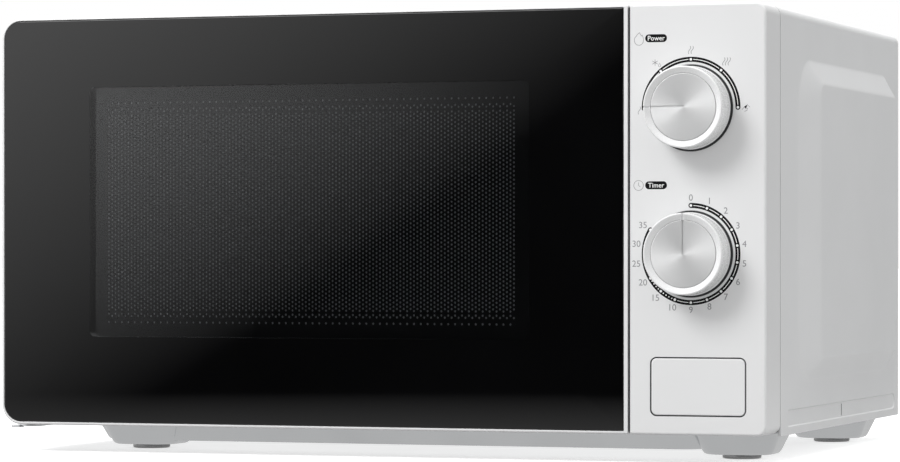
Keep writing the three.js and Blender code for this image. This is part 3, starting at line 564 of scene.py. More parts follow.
def cabinet():
    """One painted sheet over the top and both sides: a raised panel on each, a recessed strip low down."""
    front, rear = WRAP_LOW.y, WRAP_HIGH.y
    bottom, side_bulge, lid_bulge, corner = WRAP_LOW.z, 5.0, 4.7, 5.0
    top = WRAP_HIGH.z - lid_bulge
    skin = Skin()
    for side in (-1, 1):
        face = side * HALF_WIDTH
        edge = skin.loop(ring("x", [(front, bottom), (rear, bottom), (rear, top - corner),
                                    (front, top - corner)], face))
        panel = skin.stack(pressed_rings(
            "x", outline((66.6, 300, 26, 203.8), [30, 24, 24, 30]), outline((106, 296, 39.5, 189.5), 5),
            face, side * side_bulge, ease=0.1))
        skin.cap(panel[-1])
        strip = (44.6, 313, 2.6, 12.5)
        groove = skin.stack([ring("x", outline(strip, 4.9, 1.1 * t), face - side * 0.8 * slope(t, 0.45))
                             for t in (0, 0.25, 0.5, 0.75, 1)])
        slit = skin.loop(ring("x", outline((174.4, 176.8, 3.9, 10.9), 0.5, 0, 3), face - side * 0.8))
        skin.fill(edge, panel[0], groove[0])
        skin.fill(groove[-1], slit)
    lid = skin.stack(pressed_rings("z", outline((-180, 180, 60, 306), 30), outline((-168, 168, 72, 294), 20),
                                   top, lid_bulge))
    skin.cap(lid[-1])
    shoulder = HALF_WIDTH - corner
    roof = [(-shoulder, front), (shoulder, front), (shoulder, rear), (-shoulder, rear)]
    skin.fill(skin.loop(ring("z", roof, top)), lid[0])
    for side in (-1, 1):
        steps = 8
        arc = [(side * (shoulder + corner * math.cos(a)), top - corner + corner * math.sin(a))
               for a in [k / steps * math.pi / 2 for k in range(steps + 1)]]
        near = skin.loop([(x, front, z) for x, z in arc])
        far = skin.loop([(x, rear, z) for x, z in arc])
        skin.bridge(near, far, closed=False)
    return skin.mesh((0, (front + rear) / 2, WRAP_HIGH.z), (0, 0, 1), SHEET)


def rear_panel():
    """The zinc back with its edge, a raised slotted field behind the fan and a row of exhaust slots."""
    face, bulge = REAR_HIGH.y - 11.0, 11.0
    skin = Skin()
    plate = (REAR_LOW.x, REAR_HIGH.x, REAR_LOW.z, REAR_HIGH.z)
    edge = skin.loop(ring("y", outline(plate, [0.1, 0.1, 3, 3], 0, 6), face))
    field = skin.stack(pressed_rings("y", outline((66, 212, 56, 208), 16), outline((78, 200, 68, 196), 10),
                                     face, bulge))
    slots = [skin.loop(ring("y", outline((88 + 14.2 * c, 93 + 14.2 * c, z, z + 50), 2.4, 0, 5), REAR_HIGH.y))
             for c in range(8) for z in (76, 134)]
    skin.fill(field[-1], *slots)
    holes = [skin.loop(ring("y", outline((-150 + 12 * c, -145.5 + 12 * c, 176, 206), 2.2, 0, 5), face))
             for c in range(10)]
    for x, z, radius in ((195, 28, 8), (-205, 14, 2.1), (205, 14, 2.1)):
        holes.append(skin.loop(ring("y", circle(x, z, radius, 24), face)))
    beads = []
    for z in (60, 110):
        bead = skin.stack(pressed_rings("y", outline((-170, 40, z, z + 10), 5),
                                        outline((-168, 38, z + 2, z + 8), 3), face, -1.0, 6))
        skin.cap(bead[-1])
        beads.append(bead[0])
    skin.fill(edge, field[0], *holes, *beads)
    return skin.mesh((0, face, 30), (0, 1, 0), SHEET)


def pressed_form(foot, flat, base, height, ease=0.3):
    """(outer, inner) solids of a bulge pressed down or up from a flat plate, for joining and cutting."""
    out = math.copysign(1, height)
    solids = []
    for back in (1, 2):
        shift = -out * SHEET * back
        rings = pressed_rings("z", foot, flat, base - out * SHEET * (back - 1), height, 8, ease)
        solids.append(rings_mesh([ring("z", foot, base + shift), *rings]))
    return solids


def base_plate():
    """The bright pressed base: a flat pan, a dropped tray and a boss for each foot."""
    tray = pressed_form(outline((-193, 182, 48, 300), 20), outline((-185, 174, 55, 292), 16), 0, -10.5)
    plate = box_mesh(BASE_LOW.x, BASE_HIGH.x, BASE_LOW.y, BASE_HIGH.y, 0, SHEET)
    bosses, holes = [], []
    for foot in ("foot_front_left", "foot_front_right", "foot_rear_left", "foot_rear_right"):
        middle = node_middle(foot)
        x, y = middle.x, middle.y
        bosses.append(pressed_form(outline((x - 26, x + 26, y - 26, y + 26), 14),
                                   outline((x - 18, x + 18, y - 18, y + 18), 12), 0, BASE_LOW.z))
        holes.append(rod("z", x, y, 3.1, BASE_LOW.z - 1, 1))
    full = join(plate, tray[0], *[b[0] for b in bosses])
    return cut(full, tray[1], *[b[1] for b in bosses], *holes)


# ---- door ----
HINGE = joint_place("door_hinge")
WINDOW = (-172, 92, 40, 196)
PRINT_WINDOW = (-168, 91.5, 50, 190)
SEAT_DEPTH = GLASS_HIGH.y + GAP


def door_frame():
    """The white moulding: a thin soft-edged rim round the glass, turned about the hinge at its rear left."""
    left, right, depth = DOOR_LOW.x, DOOR_HIGH.x, DOOR_HIGH.y
    swing = HINGE.x - left
    corners = [12, 1, 1, 12]

    def section(inset, y, start=left):
        """One outline; only a quarter of the inset is taken off beside the gap to the control panel."""
        return ring("y", outline((start, right + 0.75 * inset, 0, FRONT_HEIGHT), corners, inset, 16), y)

    rings = [section(inset, h) for inset, h in fillet(1.1, 5)]
    rings += [section(0, HINGE.y + swing * math.sin(a), HINGE.x - swing * math.cos(a))
              for a in [k / 8 * math.pi / 2 for k in range(9)]]
    slab_mesh = rings_mesh(rings)
    seat = (GLASS_LOW.x - GAP, GLASS_HIGH.x + GAP, GLASS_LOW.z - GAP, GLASS_HIGH.z + GAP)
    return cut(
        slab_mesh,
        flared("y", seat, [10.3, 0.4, 0.4, 10.3], 0, SEAT_DEPTH, 0.3, steps=16),
        box_mesh(-198, 136, SEAT_DEPTH - 1, 7, 12, 218),
        box_mesh(-198, 143.5, 6.3, depth + 1, 4, 225.6),
        box_mesh(-209, -197, 6.3, depth + 1, 15, 211),
        rod("z", HINGE.x, HINGE.y, 3.3, -1, 10),
        rod("z", HINGE.x, HINGE.y, 3.3, 212.5, 224),
        box_mesh(left - 1, -203.5, 6, depth + 1, 222.3, 226.6),
    )


def door_glass():
    """(printed border, clear window) of the glass; the border is one ring of the pane."""
    rect = (GLASS_LOW.x, GLASS_HIGH.x, GLASS_LOW.z, GLASS_HIGH.z)
    corners = [10, 0.6, 0.6, 10]
    front, back = fillet(0.5), fillet(0.3)
    rings = [ring("y", outline(PRINT_WINDOW, 3, 0, 16), 0)]
    rings += [ring("y", outline(rect, corners, inset, 16), h) for inset, h in front]
    rings += [ring("y", outline(rect, corners, inset, 16), GLASS_HIGH.y - h) for inset, h in reversed(back)]
    rings.append(ring("y", outline(PRINT_WINDOW, 3, 0, 16), GLASS_HIGH.y))
    border = rings_mesh(rings, loop=True)
    pane = rings_mesh([ring("y", outline(PRINT_WINDOW, 3, 0.01, 16), y) for y in (0.01, GLASS_HIGH.y - 0.01)])
    return border, pane


HOLE_RADIUS = 0.64
COLUMN_STEP = 1.99
HALF_ROW = 1.175
FIELD = (-163.0, 80.0, 56.8, 182.6)


def door_screen():
    """The black steel inner door: a pan with a folded rim and a field of punched holes behind the window."""
    x0, x1, z0, z1 = FIELD
    columns = round((x1 - x0) / COLUMN_STEP)
    rows = round((z1 - z0) / HALF_ROW)
    left = (x0 + x1) / 2 - columns * COLUMN_STEP / 2
    low = (z0 + z1) / 2 - rows * HALF_ROW / 2
    face, back = SCREEN_LOW.y, SCREEN_LOW.y + 0.6
    sides = 8
    verts, faces = [], []
    grid = {}

    def corner(i, j, k):
        key = (i, j, k)
        if key not in grid:
            grid[key] = len(verts)
            verts.append((left + i * COLUMN_STEP, (face, back)[k], low + j * HALF_ROW))
        return grid[key]

    def punched(edge_row):
        return edge_row == 0 or edge_row in (3, 4) or edge_row >= 6

    for i in range(columns):
        j = i % 2
        if j:
            for k in (0, 1):
                faces.append((corner(i, 0, k), corner(i + 1, 0, k), corner(i + 1, 1, k), corner(i, 1, k)))
        while j + 2 <= rows:
            centre = (left + (i + 0.5) * COLUMN_STEP, low + (j + 1) * HALF_ROW)
            border = [(i, j), (i + 1, j), (i + 1, j + 1), (i + 1, j + 2), (i, j + 2), (i, j + 1)]
            edge_row = min(j, rows - 2 - j)
            if not punched(edge_row):
                for k in (0, 1):
                    faces.append(tuple(corner(*b, k) for b in border))
                j += 2
                continue
            rims = []
            for k in (0, 1):
                start = len(verts)
                verts += ring("y", circle(*centre, HOLE_RADIUS, sides, -112.5), (face, back)[k])
                rim = list(range(start, start + sides))
                rims.append(rim)
                edge = [corner(*b, k) for b in border]
                # the hole's eight points meet the cell's six: two share each of the upright sides' middles
                faces += [(edge[0], edge[1], rim[1], rim[0]), (edge[1], edge[2], rim[2], rim[1]),
                          (edge[2], rim[3], rim[2]), (edge[2], edge[3], rim[4], rim[3]),
                          (edge[3], edge[4], rim[5], rim[4]), (edge[4], edge[5], rim[6], rim[5]),
                          (edge[5], rim[7], rim[6]), (edge[5], edge[0], rim[0], rim[7])]
            for s in range(sides):
                t = (s + 1) % sides
                faces.append((rims[0][s], rims[0][t], rims[1][t], rims[1][s]))
            j += 2
        if j < rows:
            for k in (0, 1):
                faces.append((corner(i, j, k), corner(i + 1, j, k), corner(i + 1, j + 1, k),
                              corner(i, j + 1, k)))
    pan = (SCREEN_LOW.x, SCREEN_HIGH.x, SCREEN_LOW.z, SCREEN_HIGH.z)
    levels = [(0.9, face), (0.3, face + 0.25), (0, face + 0.8), (0, SCREEN_HIGH.y), (1.0, SCREEN_HIGH.y),
              (1.0, back)]
    loops = []
    for inset, y in levels:
        start = len(verts)
        verts += [(u, y, v) for u, v in ((pan[0] + inset, pan[2] + inset), (pan[1] - inset, pan[2] + inset),
                                         (pan[1] - inset, pan[3] - inset), (pan[0] + inset, pan[3] - inset))]
        loops.append(list(range(start, start + 4)))
    for a, b in zip(loops, loops[1:]):
        for n in range(4):
            m = (n + 1) % 4
            faces.append((a[n], a[m], b[m], b[n]))
    for k, loop in ((0, loops[0]), (1, loops[-1])):
        bottom = [corner(i, 0, k) for i in range(columns + 1)]
        top = [corner(i, rows, k) for i in range(columns + 1)]
        near = [corner(0, j, k) for j in range(rows + 1)]
        far = [corner(columns, j, k) for j in range(rows + 1)]
        faces.append((loop[0], loop[1], *reversed(bottom)))
        faces.append((loop[1], loop[2], *reversed(far)))
        faces.append((loop[2], loop[3], *top))
        faces.append((loop[3], loop[0], *near))
    return mesh_from(verts, faces)


def door_back_cover():
    """The black cover of the choke: a soft-edged plate with a sunken window frame and the two hook slots."""
    x0, x1, z0, z1 = WINDOW
    depth = COVER_DEPTH
    cover = join(slab("y", (-197.5, 143, 4.5, 225.1), 2.0, 24.8, depth, 0.2, 0.6),
                 slab("y", (-208.5, -197, 15.5, 210.5), 1.5, 24.8, depth, 0.2, 0.6),
                 slab("y", (x0 - 1.5, x1 + 1.5, z0 - 1.5, z1 + 1.5), 5, 13.6, 25, 0.2, 0.2))
    tools = [flared("y", WINDOW, 5, 13, depth, 0.8, at=depth, towards=1)]
    for base in (40, 192):
        tools.append(flared("y", (129.7, 138.3, base - 5.5, base + 8.5), 1, 24, depth, 0.5, at=depth,
                            towards=1))
    # a shallow step all round the window, and a line where the cover's snap-in strip begins
    tools.append(slab("y", (x0 - 9, x1 + 9, z0 - 9, z1 + 9), 10, depth - 0.7, depth + 1, 0.2, 0.2))
    walls = ((0, depth - 0.5), (0, depth + 1), (1.0, depth + 1), (1.0, depth - 0.5))
    groove = [ring("y", outline((-190.5, 124, 11.5, 218.5), 8, inset), y) for inset, y in walls]
    tools.append(rings_mesh(groove, loop=True))
    return cut(cover, *tools)


# ---- control panel, knobs and button ----
BUTTON = (160, 211.5, 10.6, 40.8)
BUTTON_CORNER = 2.9
BUTTON_GAP = 0.7
SHAFT_HOLE = 4.0


def grown(rect, amount):
    return rect[0] - amount, rect[1] + amount, rect[2] - amount, rect[3] + amount


def control_panel():
    """The white moulded front: a shell with soft edges, the button's opening and two shaft holes."""
    rect = (PANEL_LOW.x, PANEL_HIGH.x, 0, FRONT_HEIGHT)
    corners = [1, 5, 6, 1]
    depth, wall = PANEL_HIGH.y, 2.2
    near_gap = 0.75
    rings = [ring("y", outline((rect[0] - near_gap * inset, *rect[1:]), corners, inset, 14), h)
             for inset, h in fillet(1.4, 6)]
    rings.append(ring("y", outline(rect, corners, 0, 14), depth))
    inside = slab("y", (rect[0] + wall, rect[1] - wall, wall, FRONT_HEIGHT - wall), 3, wall, depth + 1, 0.1,
                  0.1)
    opening = grown(BUTTON, BUTTON_GAP)
    return cut(
        rings_mesh(rings), inside,
        flared("y", opening, BUTTON_CORNER + BUTTON_GAP, 0, wall + 1, 0.15, steps=14),
        box_mesh(rect[0] - 1, rect[0] + wall + 0.1, PLATE_FACE + 15.8, depth + 1, -1, FRONT_HEIGHT + 1),
        rod("y", POWER.x, POWER.z, SHAFT_HOLE, -1, wall + 1, 40),
        rod("y", TIMER.x, TIMER.z, SHAFT_HOLE, -1, wall + 1, 40),
    )


def release_button():
    """(cap, flange): the wide flat push button, and the flange and push rib behind it; the flange is dark as
    painted shade seen through the gap round the button.
    """
    edge = [(0.8, 0.0), (0.45, 0.03), (0.2, 0.12), (0.05, 0.3), (0, 0.5), (0, 2.8)]
    cap = rings_mesh([ring("y", outline(BUTTON, BUTTON_CORNER, inset, 14), h) for inset, h in edge])
    flange = slab("y", grown(BUTTON, 3), 4, 2.8, 4.2, 0.1, 0.1)
    return cap, join(flange, box_mesh(164, 176, 4, 14.1, 12, 17))


def button_seal():
    """A dark ring lining the button's opening, painted shade for the shadow in the gap round the button."""
    depths = (0.25, 2.2)
    walls = [(0.22, depths[0]), (BUTTON_GAP + 0.05, depths[0]), (BUTTON_GAP + 0.05, depths[1]),
             (0.22, depths[1])]
    return rings_mesh([ring("y", outline(BUTTON, BUTTON_CORNER, -d, 14), y) for d, y in walls], loop=True)


def knob_seat(centre):
    """A dark ring round the knob's foot, painted shade for the shadow gap between knob and panel."""
    return lathe("y", [(9, -0.5), (22.9, -0.5), (23.15, -0.35), (23.15, 0.05), (9, 0.05), (9, -0.5)],
                 (centre.x, centre.z), 128)


def gap_strip():
    """A dark strip on the panel's left wall, painted shade in the gap beside the door."""
    right = PANEL_LOW.x + 0.05
    return slab("y", (right - 0.75, right, 1.5, FRONT_HEIGHT - 1.5), 0.1, 0.5, 27, 0.1, 0.1)


KNOB_RADIUS = 21.75
KNOB_FACE = node_box("power_knob")[0].y


def pointer_bar(centre, angle, near, far, y0, y1, width):
    turn = Matrix.Translation((centre.x, 0, centre.z)) @ Matrix.Rotation(-angle, 4, "Y")
    return moved(box_mesh(near, far, y0, y1, -width / 2, width / 2), turn)


def knob(centre, angle):
    """A turned cup: bevelled lip round a dished face, two fine grooves on its side and a thin foot."""
    face = KNOB_FACE
    lip = [(18.0, face + 3.9), (18.0, face + 1.9), (18.1, face + 1.75), (18.4, face + 1.55),
           (20.5, face + 0.25), (20.8, face + 0.05), (21.05, face), (21.3, face + 0.06),
           (21.55, face + 0.25), (21.7, face + 0.55), (KNOB_RADIUS, face + 1.0)]
    side = [(KNOB_RADIUS, -11.0), (21.35, -10.85), (21.35, -10.35), (KNOB_RADIUS, -10.2),
            (KNOB_RADIUS, -3.4), (21.5, -3.2), (21.5, -2.9), (22.0, -2.75), (22.15, -2.5),
            (22.15, -1.4), (21.6, -1.3), (21.6, -0.6)]
    cup = lathe("y", [(0, face + 4.2), (17.9, face + 4.2), *lip, *side, (0, -0.6)], (centre.x, centre.z), 144)
    return cut(cup, rod("y", centre.x, centre.z, 3.3, -11.7, 1, 32),
               pointer_bar(centre, angle, 17.0, 24, face - 1, face + 1.8, 1.5))


def knob_cap(centre, angle):
    """The spun metal disc set into the knob, with the pointer engraved from its middle to its rim."""
    back = KNOB_FACE + 3.9
    profile = [(0, back - 2.0), (8, back - 2.07), (17.5, back - 2.2), (17.8, back - 2.12),
               (17.9, back - 1.95), (17.9, back), (0, back)]
    return cut(lathe("y", profile, (centre.x, centre.z), 144),
               pointer_bar(centre, angle, -0.4, 18.5, back - 3, back - 1.55, 1.5))


def rubber_foot(node):
    """A round rubber foot with a soft rim, a sunken ring in its sole and its push-in stem."""
    low, high = node_box(node)
    middle = (low + high) / 2
    floor, seat = low.z, BASE_LOW.z - GAP
    wide = (high.x - low.x) / 2
    profile = [(0, floor + 0.6), (5.2, floor + 0.6), (5.8, floor), (wide - 1, floor),
               (wide - 0.4, floor + 0.2), (wide - 0.1, floor + 0.6), (wide, floor + 1.1),
               (wide - 0.1, seat - 0.15), (wide - 0.3, seat), (2.8, seat), (2.8, high.z - 3),
               (4.6, high.z - 3), (3.4, high.z), (0, high.z)]
    return lathe("z", profile, (middle.x, middle.y), 64)


# ---- turntable ----
def turned_about_spindle(mesh, third):
    """The mesh moved to the spindle and turned by so many thirds of a circle."""
    turn = Matrix.Rotation(third * 2 * math.pi / 3, 4, "Z")
    return moved(mesh, Matrix.Translation((TURNTABLE.x, TURNTABLE.y, 0)) @ turn)


def turntable_plate():
    """The clear glass plate: a flat middle with a raised ring, a rounded wall and a rolled rim."""
    low, high = node_box("turntable_plate")
    floor = low.z + 5.0
    top = high.z
    radius = (high.x - low.x) / 2
    under = curve_points([(60, floor), (101, floor), (108, floor + 1.6), (116, floor + 6),
                          (radius - 0.5, top - 2.4)], 5)
    rim = [(radius - 0.05, top - 1.3), (radius, top - 0.7), (radius - 0.5, top - 0.1), (radius - 1.3, top)]
    inside = curve_points([(radius - 2.2, top - 0.6), (115, floor + 9), (108, floor + 5.2), (101, floor + 4),
                           (92, floor + 3.9)], 5)
    well = [(90.5, floor + 3.5), (60.5, floor + 3.5), (59, floor + 3.9), (44, floor + 3.9),
            (43, floor + 3.5), (0, floor + 3.5)]
    dish = lathe("z", [(0, floor), *under, *rim, *inside, *well], (TURNTABLE.x, TURNTABLE.y), 120)
    lugs = [turned_about_spindle(slab("z", (14, 24, -4, 4), 1.5, low.z, floor + 1, 0.5, 0.1, 4), i)
            for i in range(3)]
    return join(dish, *lugs)


def roller_ring():
    """The grey support ring with a ribbed section and three stub axles."""
    z = node_middle("roller_1").z
    profile = [(79.3, z - 3), (85.7, z - 3), (86, z - 2.7), (86, z + 2.7), (85.7, z + 3),
               (84.4, z + 3), (84.2, z + 1.8), (80.8, z + 1.8), (80.6, z + 3), (79.3, z + 3),
               (79, z + 2.7), (79, z - 2.7), (79.3, z - 3)]
    body = lathe("z", profile, (TURNTABLE.x, TURNTABLE.y), 120)
    parts = []
    for i in range(3):
        parts.append(turned_about_spindle(rod("x", 0, z, 1.4, 85, 97.5, 24), i))
        parts.append(turned_about_spindle(rod("x", 0, z, 2.6, 96.2, 97.8, 24, 0.3), i))
    return join(body, *parts)


def roller(i):
    """A wheel with rounded shoulders and a running bore."""
    z = node_middle(f"roller_{i + 1}").z
    profile = [(1.7, 88.5), (6.3, 88.5), (7.0, 88.8), (7.3, 89.6), (7.3, 94.4), (7.0, 95.2),
               (6.3, 95.5), (1.7, 95.5), (1.7, 88.5)]
    return turned_about_spindle(lathe("x", profile, (0, z), 48), i)


# ---- printed dial scales ----
INK_FRONT, INK_BACK = -0.05, 0.1
INK_OVER = -0.075


def flat_print(points, front=INK_FRONT):
    return rings_mesh([ring("y", points, y) for y in (front, INK_BACK)])


def stroke(points, width, closed=False, front=INK_FRONT):
    """A line of ink along points of (x, z)."""
    count = len(points)
    left, right = [], []
    for i, (x, z) in enumerate(points):
        a = points[(i - 1) % count] if closed or i else points[i]
        b = points[(i + 1) % count] if closed or i < count - 1 else points[i]
        along = Vector((b[0] - a[0], b[1] - a[1])).normalized()
        across = Vector((-along.y, along.x)) * width / 2
        left.append((x + across.x, z + across.y))
        right.append((x - across.x, z - across.y))
    if closed:
        return rings_mesh([ring("y", left, front), ring("y", left, INK_BACK), ring("y", right, INK_BACK),
                           ring("y", right, front)], loop=True)
    return flat_print(left + right[::-1], front)


def around(centre, radius, angle):
    turn = math.radians(angle)
    return centre.x + radius * math.cos(turn), centre.z + radius * math.sin(turn)


def arc_line(centre, radius, start, end, width, front=INK_FRONT, per=3.0):
    """An arc of ink from one angle to another with round ends."""
    steps = max(2, int(abs(end - start) / per))
    angles = [start + (end - start) * k / steps for k in range(steps + 1)]
    half = width / 2
    outer = [around(centre, radius + half, a) for a in angles]
    inner = [around(centre, radius - half, a) for a in reversed(angles)]

    def cap(angle, sense):
        middle = around(centre, radius, angle)
        base = math.radians(angle)
        return [(middle[0] + half * math.cos(base + sense * t), middle[1] + half * math.sin(base + sense * t))
                for t in [k / 8 * math.pi for k in range(1, 8)]]

    sense = 1 if end > start else -1
    tail = [(2 * around(centre, radius, start)[0] - p[0], 2 * around(centre, radius, start)[1] - p[1])
            for p in cap(start, sense)]
    return flat_print(outer + cap(end, sense) + inner + tail, front)


def disc(x, z, radius, front=INK_OVER):
    return flat_print(circle(x, z, radius, 20), front)


def lettering(text, x, z, height, bold=0.0, front=INK_FRONT):
    curve = bpy.data.curves.new("lettering", "FONT")
    curve.body = text
    curve.size = height / 0.72
    curve.align_x, curve.align_y = "CENTER", "CENTER"
    curve.resolution_u = 4
    curve.extrude = (INK_BACK - front) / 2
    curve.offset = bold
    stand = Matrix.Translation((x, (INK_BACK + front) / 2, z)) @ Matrix.Rotation(math.pi / 2, 4, "X")
    return cleaned(moved(baked(linked("lettering", curve)), stand))


def wave(x, z, height=4.2, amount=0.45, lean=0.18):
    points = []
    for k in range(13):
        t = k / 12 - 0.5
        points.append((x + amount * math.sin(2 * math.pi * t) + lean * t * height, z + t * height))
    return stroke(points, 0.28)


def power_icons():
    """Generic level marks round the power dial: waves, a snow crystal with a drop, and a zigzag."""
    marks = [wave(*around(POWER, 28.5, 182))]
    x, z = around(POWER, 31.4, 129)
    for k in range(3):
        a = math.radians(90 + 60 * k)
        marks.append(stroke([(x + 1.7 * math.cos(a), z + 1.7 * math.sin(a)),
                             (x - 1.7 * math.cos(a), z - 1.7 * math.sin(a))], 0.26))
    turns = [math.radians(150 + 240 * k / 10) for k in range(11)]
    drop = [(x + 2.5 + 0.62 * math.cos(a), z - 1.7 + 0.62 * math.sin(a)) for a in turns]
    marks.append(stroke([*drop, (x + 2.5, z - 0.2)], 0.22, closed=True))
    for dx in (-0.75, 0.75):
        marks.append(wave(POWER.x + dx, POWER.z + 30.8))
    x, z = around(POWER, 31.2, 51.2)
    for dx in (-1.5, 0, 1.5):
        marks.append(wave(x + dx, z))
    x, z = around(POWER, 30.2, -0.5)
    zigzag = [(-2.2, -1.1), (-0.9, 0.5), (-0.1, -0.7), (0.7, 1.7), (2.0, 0.3)]
    marks.append(stroke([(x + a, z + b) for a, b in zigzag], 0.26))
    marks.append(stroke([(x - 0.9, z - 1.9), (x + 0.5, z - 1.5), (x + 0.9, z - 0.1)], 0.26))
    return marks


def flame_and_clock():
    x, z = 153.2, 210.9
    half = [(0.35, 3.5), (1.0, 2.4), (1.5, 1.7), (1.75, 2.2), (2.25, 1.0), (2.5, -0.3), (2.2, -1.9),
            (1.2, -2.9), (0, -3.2)]
    other = [(-1.2, -2.9), (-2.2, -1.9), (-2.55, -0.4), (-2.2, 0.9), (-1.4, 1.7), (-0.9, 2.5)]
    flame = curve_points([*half, *other, half[0]], 3)[:-1]
    marks = [stroke([(x + a, z + b) for a, b in flame], 0.26, closed=True)]
    x, z = 153.0, 132.9
    marks.append(stroke(circle(x, z, 2.65, 36), 0.26, closed=True))
    marks.append(stroke([(x, z + 1.6), (x, z)], 0.26))
    marks.append(stroke([(x, z), (x + 0.9, z - 0.7)], 0.26))
    return marks


SCALE_RADIUS = 25.8


def dial_prints():
    """(black, grey, white) ink of the two scales."""
    black = [arc_line(POWER, SCALE_RADIUS, 180, 0, 2.7), arc_line(TIMER, SCALE_RADIUS, 90, -210, 2.7)]
    white, grey = [], []
    power_stops = [180, 130, 90, 50, 0]
    timer_stops = [90 - 20 * k for k in range(11)] + [-130, -150, -170, -190, -210]
    for centre, stops in ((POWER, power_stops), (TIMER, timer_stops)):
        for angle in stops:
            white.append(disc(*around(centre, SCALE_RADIUS, angle), 0.72))
        for a, b in zip(stops, stops[1:]):
            if centre is TIMER and a <= -110 and b >= -150:
                white += [disc(*around(centre, SCALE_RADIUS, a + (b - a) * k / 5), 0.36) for k in range(1, 5)]
            else:
                white.append(arc_line(centre, SCALE_RADIUS, a - 3.4, b + 3.4, 0.38, INK_OVER))
    for k in range(11):
        grey.append(lettering(str(k), *around(TIMER, 29.8 if k < 10 else 30.4, 90 - 20 * k), 3.5))
    for value, angle in ((15, -130), (20, -150), (25, -170), (30, -190), (35, -210)):
        grey.append(lettering(str(value), *around(TIMER, 30.6, angle), 3.5))
    grey += power_icons() + flame_and_clock()
    for z in (211.3, 132.95):
        black.append(flat_print(outline((156.7, 168.7, z - 2.1, z + 2.1), 2.0, 0, 8)))
    for text, z in (("Power", 211.2), ("Timer", 132.85)):
        white.append(lettering(text, 162.7, z, 2.6, bold=0.035, front=INK_OVER))
    return black, grey, white


# ---- putting the pieces together ----
piece("cabinet_fine", cabinet(), "chassis", M["white_paint"], "white_paint", ("cabinet",),
      smooth=math.radians(50))
piece("rear_panel_fine", rear_panel(), "chassis", M["zinc_steel"], "zinc_steel", ("rear_panel",),
      smooth=math.radians(50))
piece("base_plate_fine", base_plate(), "chassis", M["base_steel"], "zinc_steel", ("base_plate",))
piece("control_panel_fine", control_panel(), "chassis", M["white_plastic"], "white_plastic",
      ("control_panel",))
for foot_node in ("foot_front_left", "foot_front_right", "foot_rear_left", "foot_rear_right"):
    piece(foot_node + "_fine", rubber_foot(foot_node), "chassis", M["foot_rubber"], "foot_rubber",
          (foot_node,))

piece("door_frame_fine", door_frame(), "door", M["white_plastic"], "white_plastic", ("door_frame",))
glass_border, glass_pane = door_glass()
piece("door_glass_border", glass_border, "door", M["black_glass"], "black_glass", ("door_glass",))
piece("door_glass_window", glass_pane, "door", M["window"], "clear_glass", ("door_glass",))
piece("door_screen_fine", door_screen(), "door", M["black_paint"], "black_paint", ("door_screen",))
film_low, film_high = node_box("door_film")
piece("door_film_fine", slab("y", (film_low.x, film_high.x, film_low.z, film_high.z), 5, SCREEN_LOW.y + 0.9,
                             SCREEN_LOW.y + 1.3, 0.05, 0.05), "door", M["pale_film"], "pale_film",
      ("door_film",))
piece("door_back_cover_fine", door_back_cover(), "door", M["black_plastic"], "black_plastic",
      ("door_back_cover",))

button_cap, button_flange = release_button()
piece("release_button_cap", button_cap, "button", M["white_plastic"], "white_plastic", ("release_button",))
# the flange's dark colour is painted shade seen through the gap round the button
piece("release_button_flange", button_flange, "button", M["dark_plastic"], "white_plastic",
      ("release_button",))
# a dark ring in the button's opening, painted shade for the gap's shadow
piece("button_seal", button_seal(), "chassis", M["dark_plastic"], "dark_plastic")
# a dark strip in the door gap, painted shade
piece("door_gap_painted_shade_strip", gap_strip(), "chassis", M["dark_plastic"], "dark_plastic")
# dark rings round the knobs' feet are painted shade for the shadow gap at the panel
piece("power_knob_gap_painted_shade", knob_seat(POWER), "chassis", M["dark_plastic"], "dark_plastic")
piece("timer_knob_gap_painted_shade", knob_seat(TIMER), "chassis", M["dark_plastic"], "dark_plastic")
for kind, centre, pointing in (("power", POWER, math.pi), ("timer", TIMER, math.pi / 2)):
    body = kind + "_dial"
    piece(kind + "_knob_fine", knob(centre, pointing), body, M["knob_plastic"], "white_plastic",
          (kind + "_knob",))
    cap_mesh = moved(knob_cap(centre, pointing), Matrix.Translation((-centre.x, 0, -centre.z)))
    cap = piece(kind + "_knob_cap_fine", cap_mesh, body, M["spun_metal"], "spun_metal", (kind + "_knob_cap",))
    cap.location = (centre.x * MM, 0, centre.z * MM)

for ink, forms in zip(("black", "grey", "white"), dial_prints()):
    piece("dial_print_" + ink, merged(*forms), "chassis", M["print_" + ink], smooth=math.radians(20))

piece("turntable_plate_fine", turntable_plate(), "plate", M["clear_glass"], "clear_glass",
      ("turntable_plate",))
piece("roller_ring_fine", roller_ring(), "ring", M["grey_plastic"], "grey_plastic", ("roller_ring",))
for n in range(3):
    piece(f"roller_{n + 1}_fine", roller(n), f"roller_{n + 1}", M["grey_plastic"], "grey_plastic",
          (f"roller_{n + 1}",))

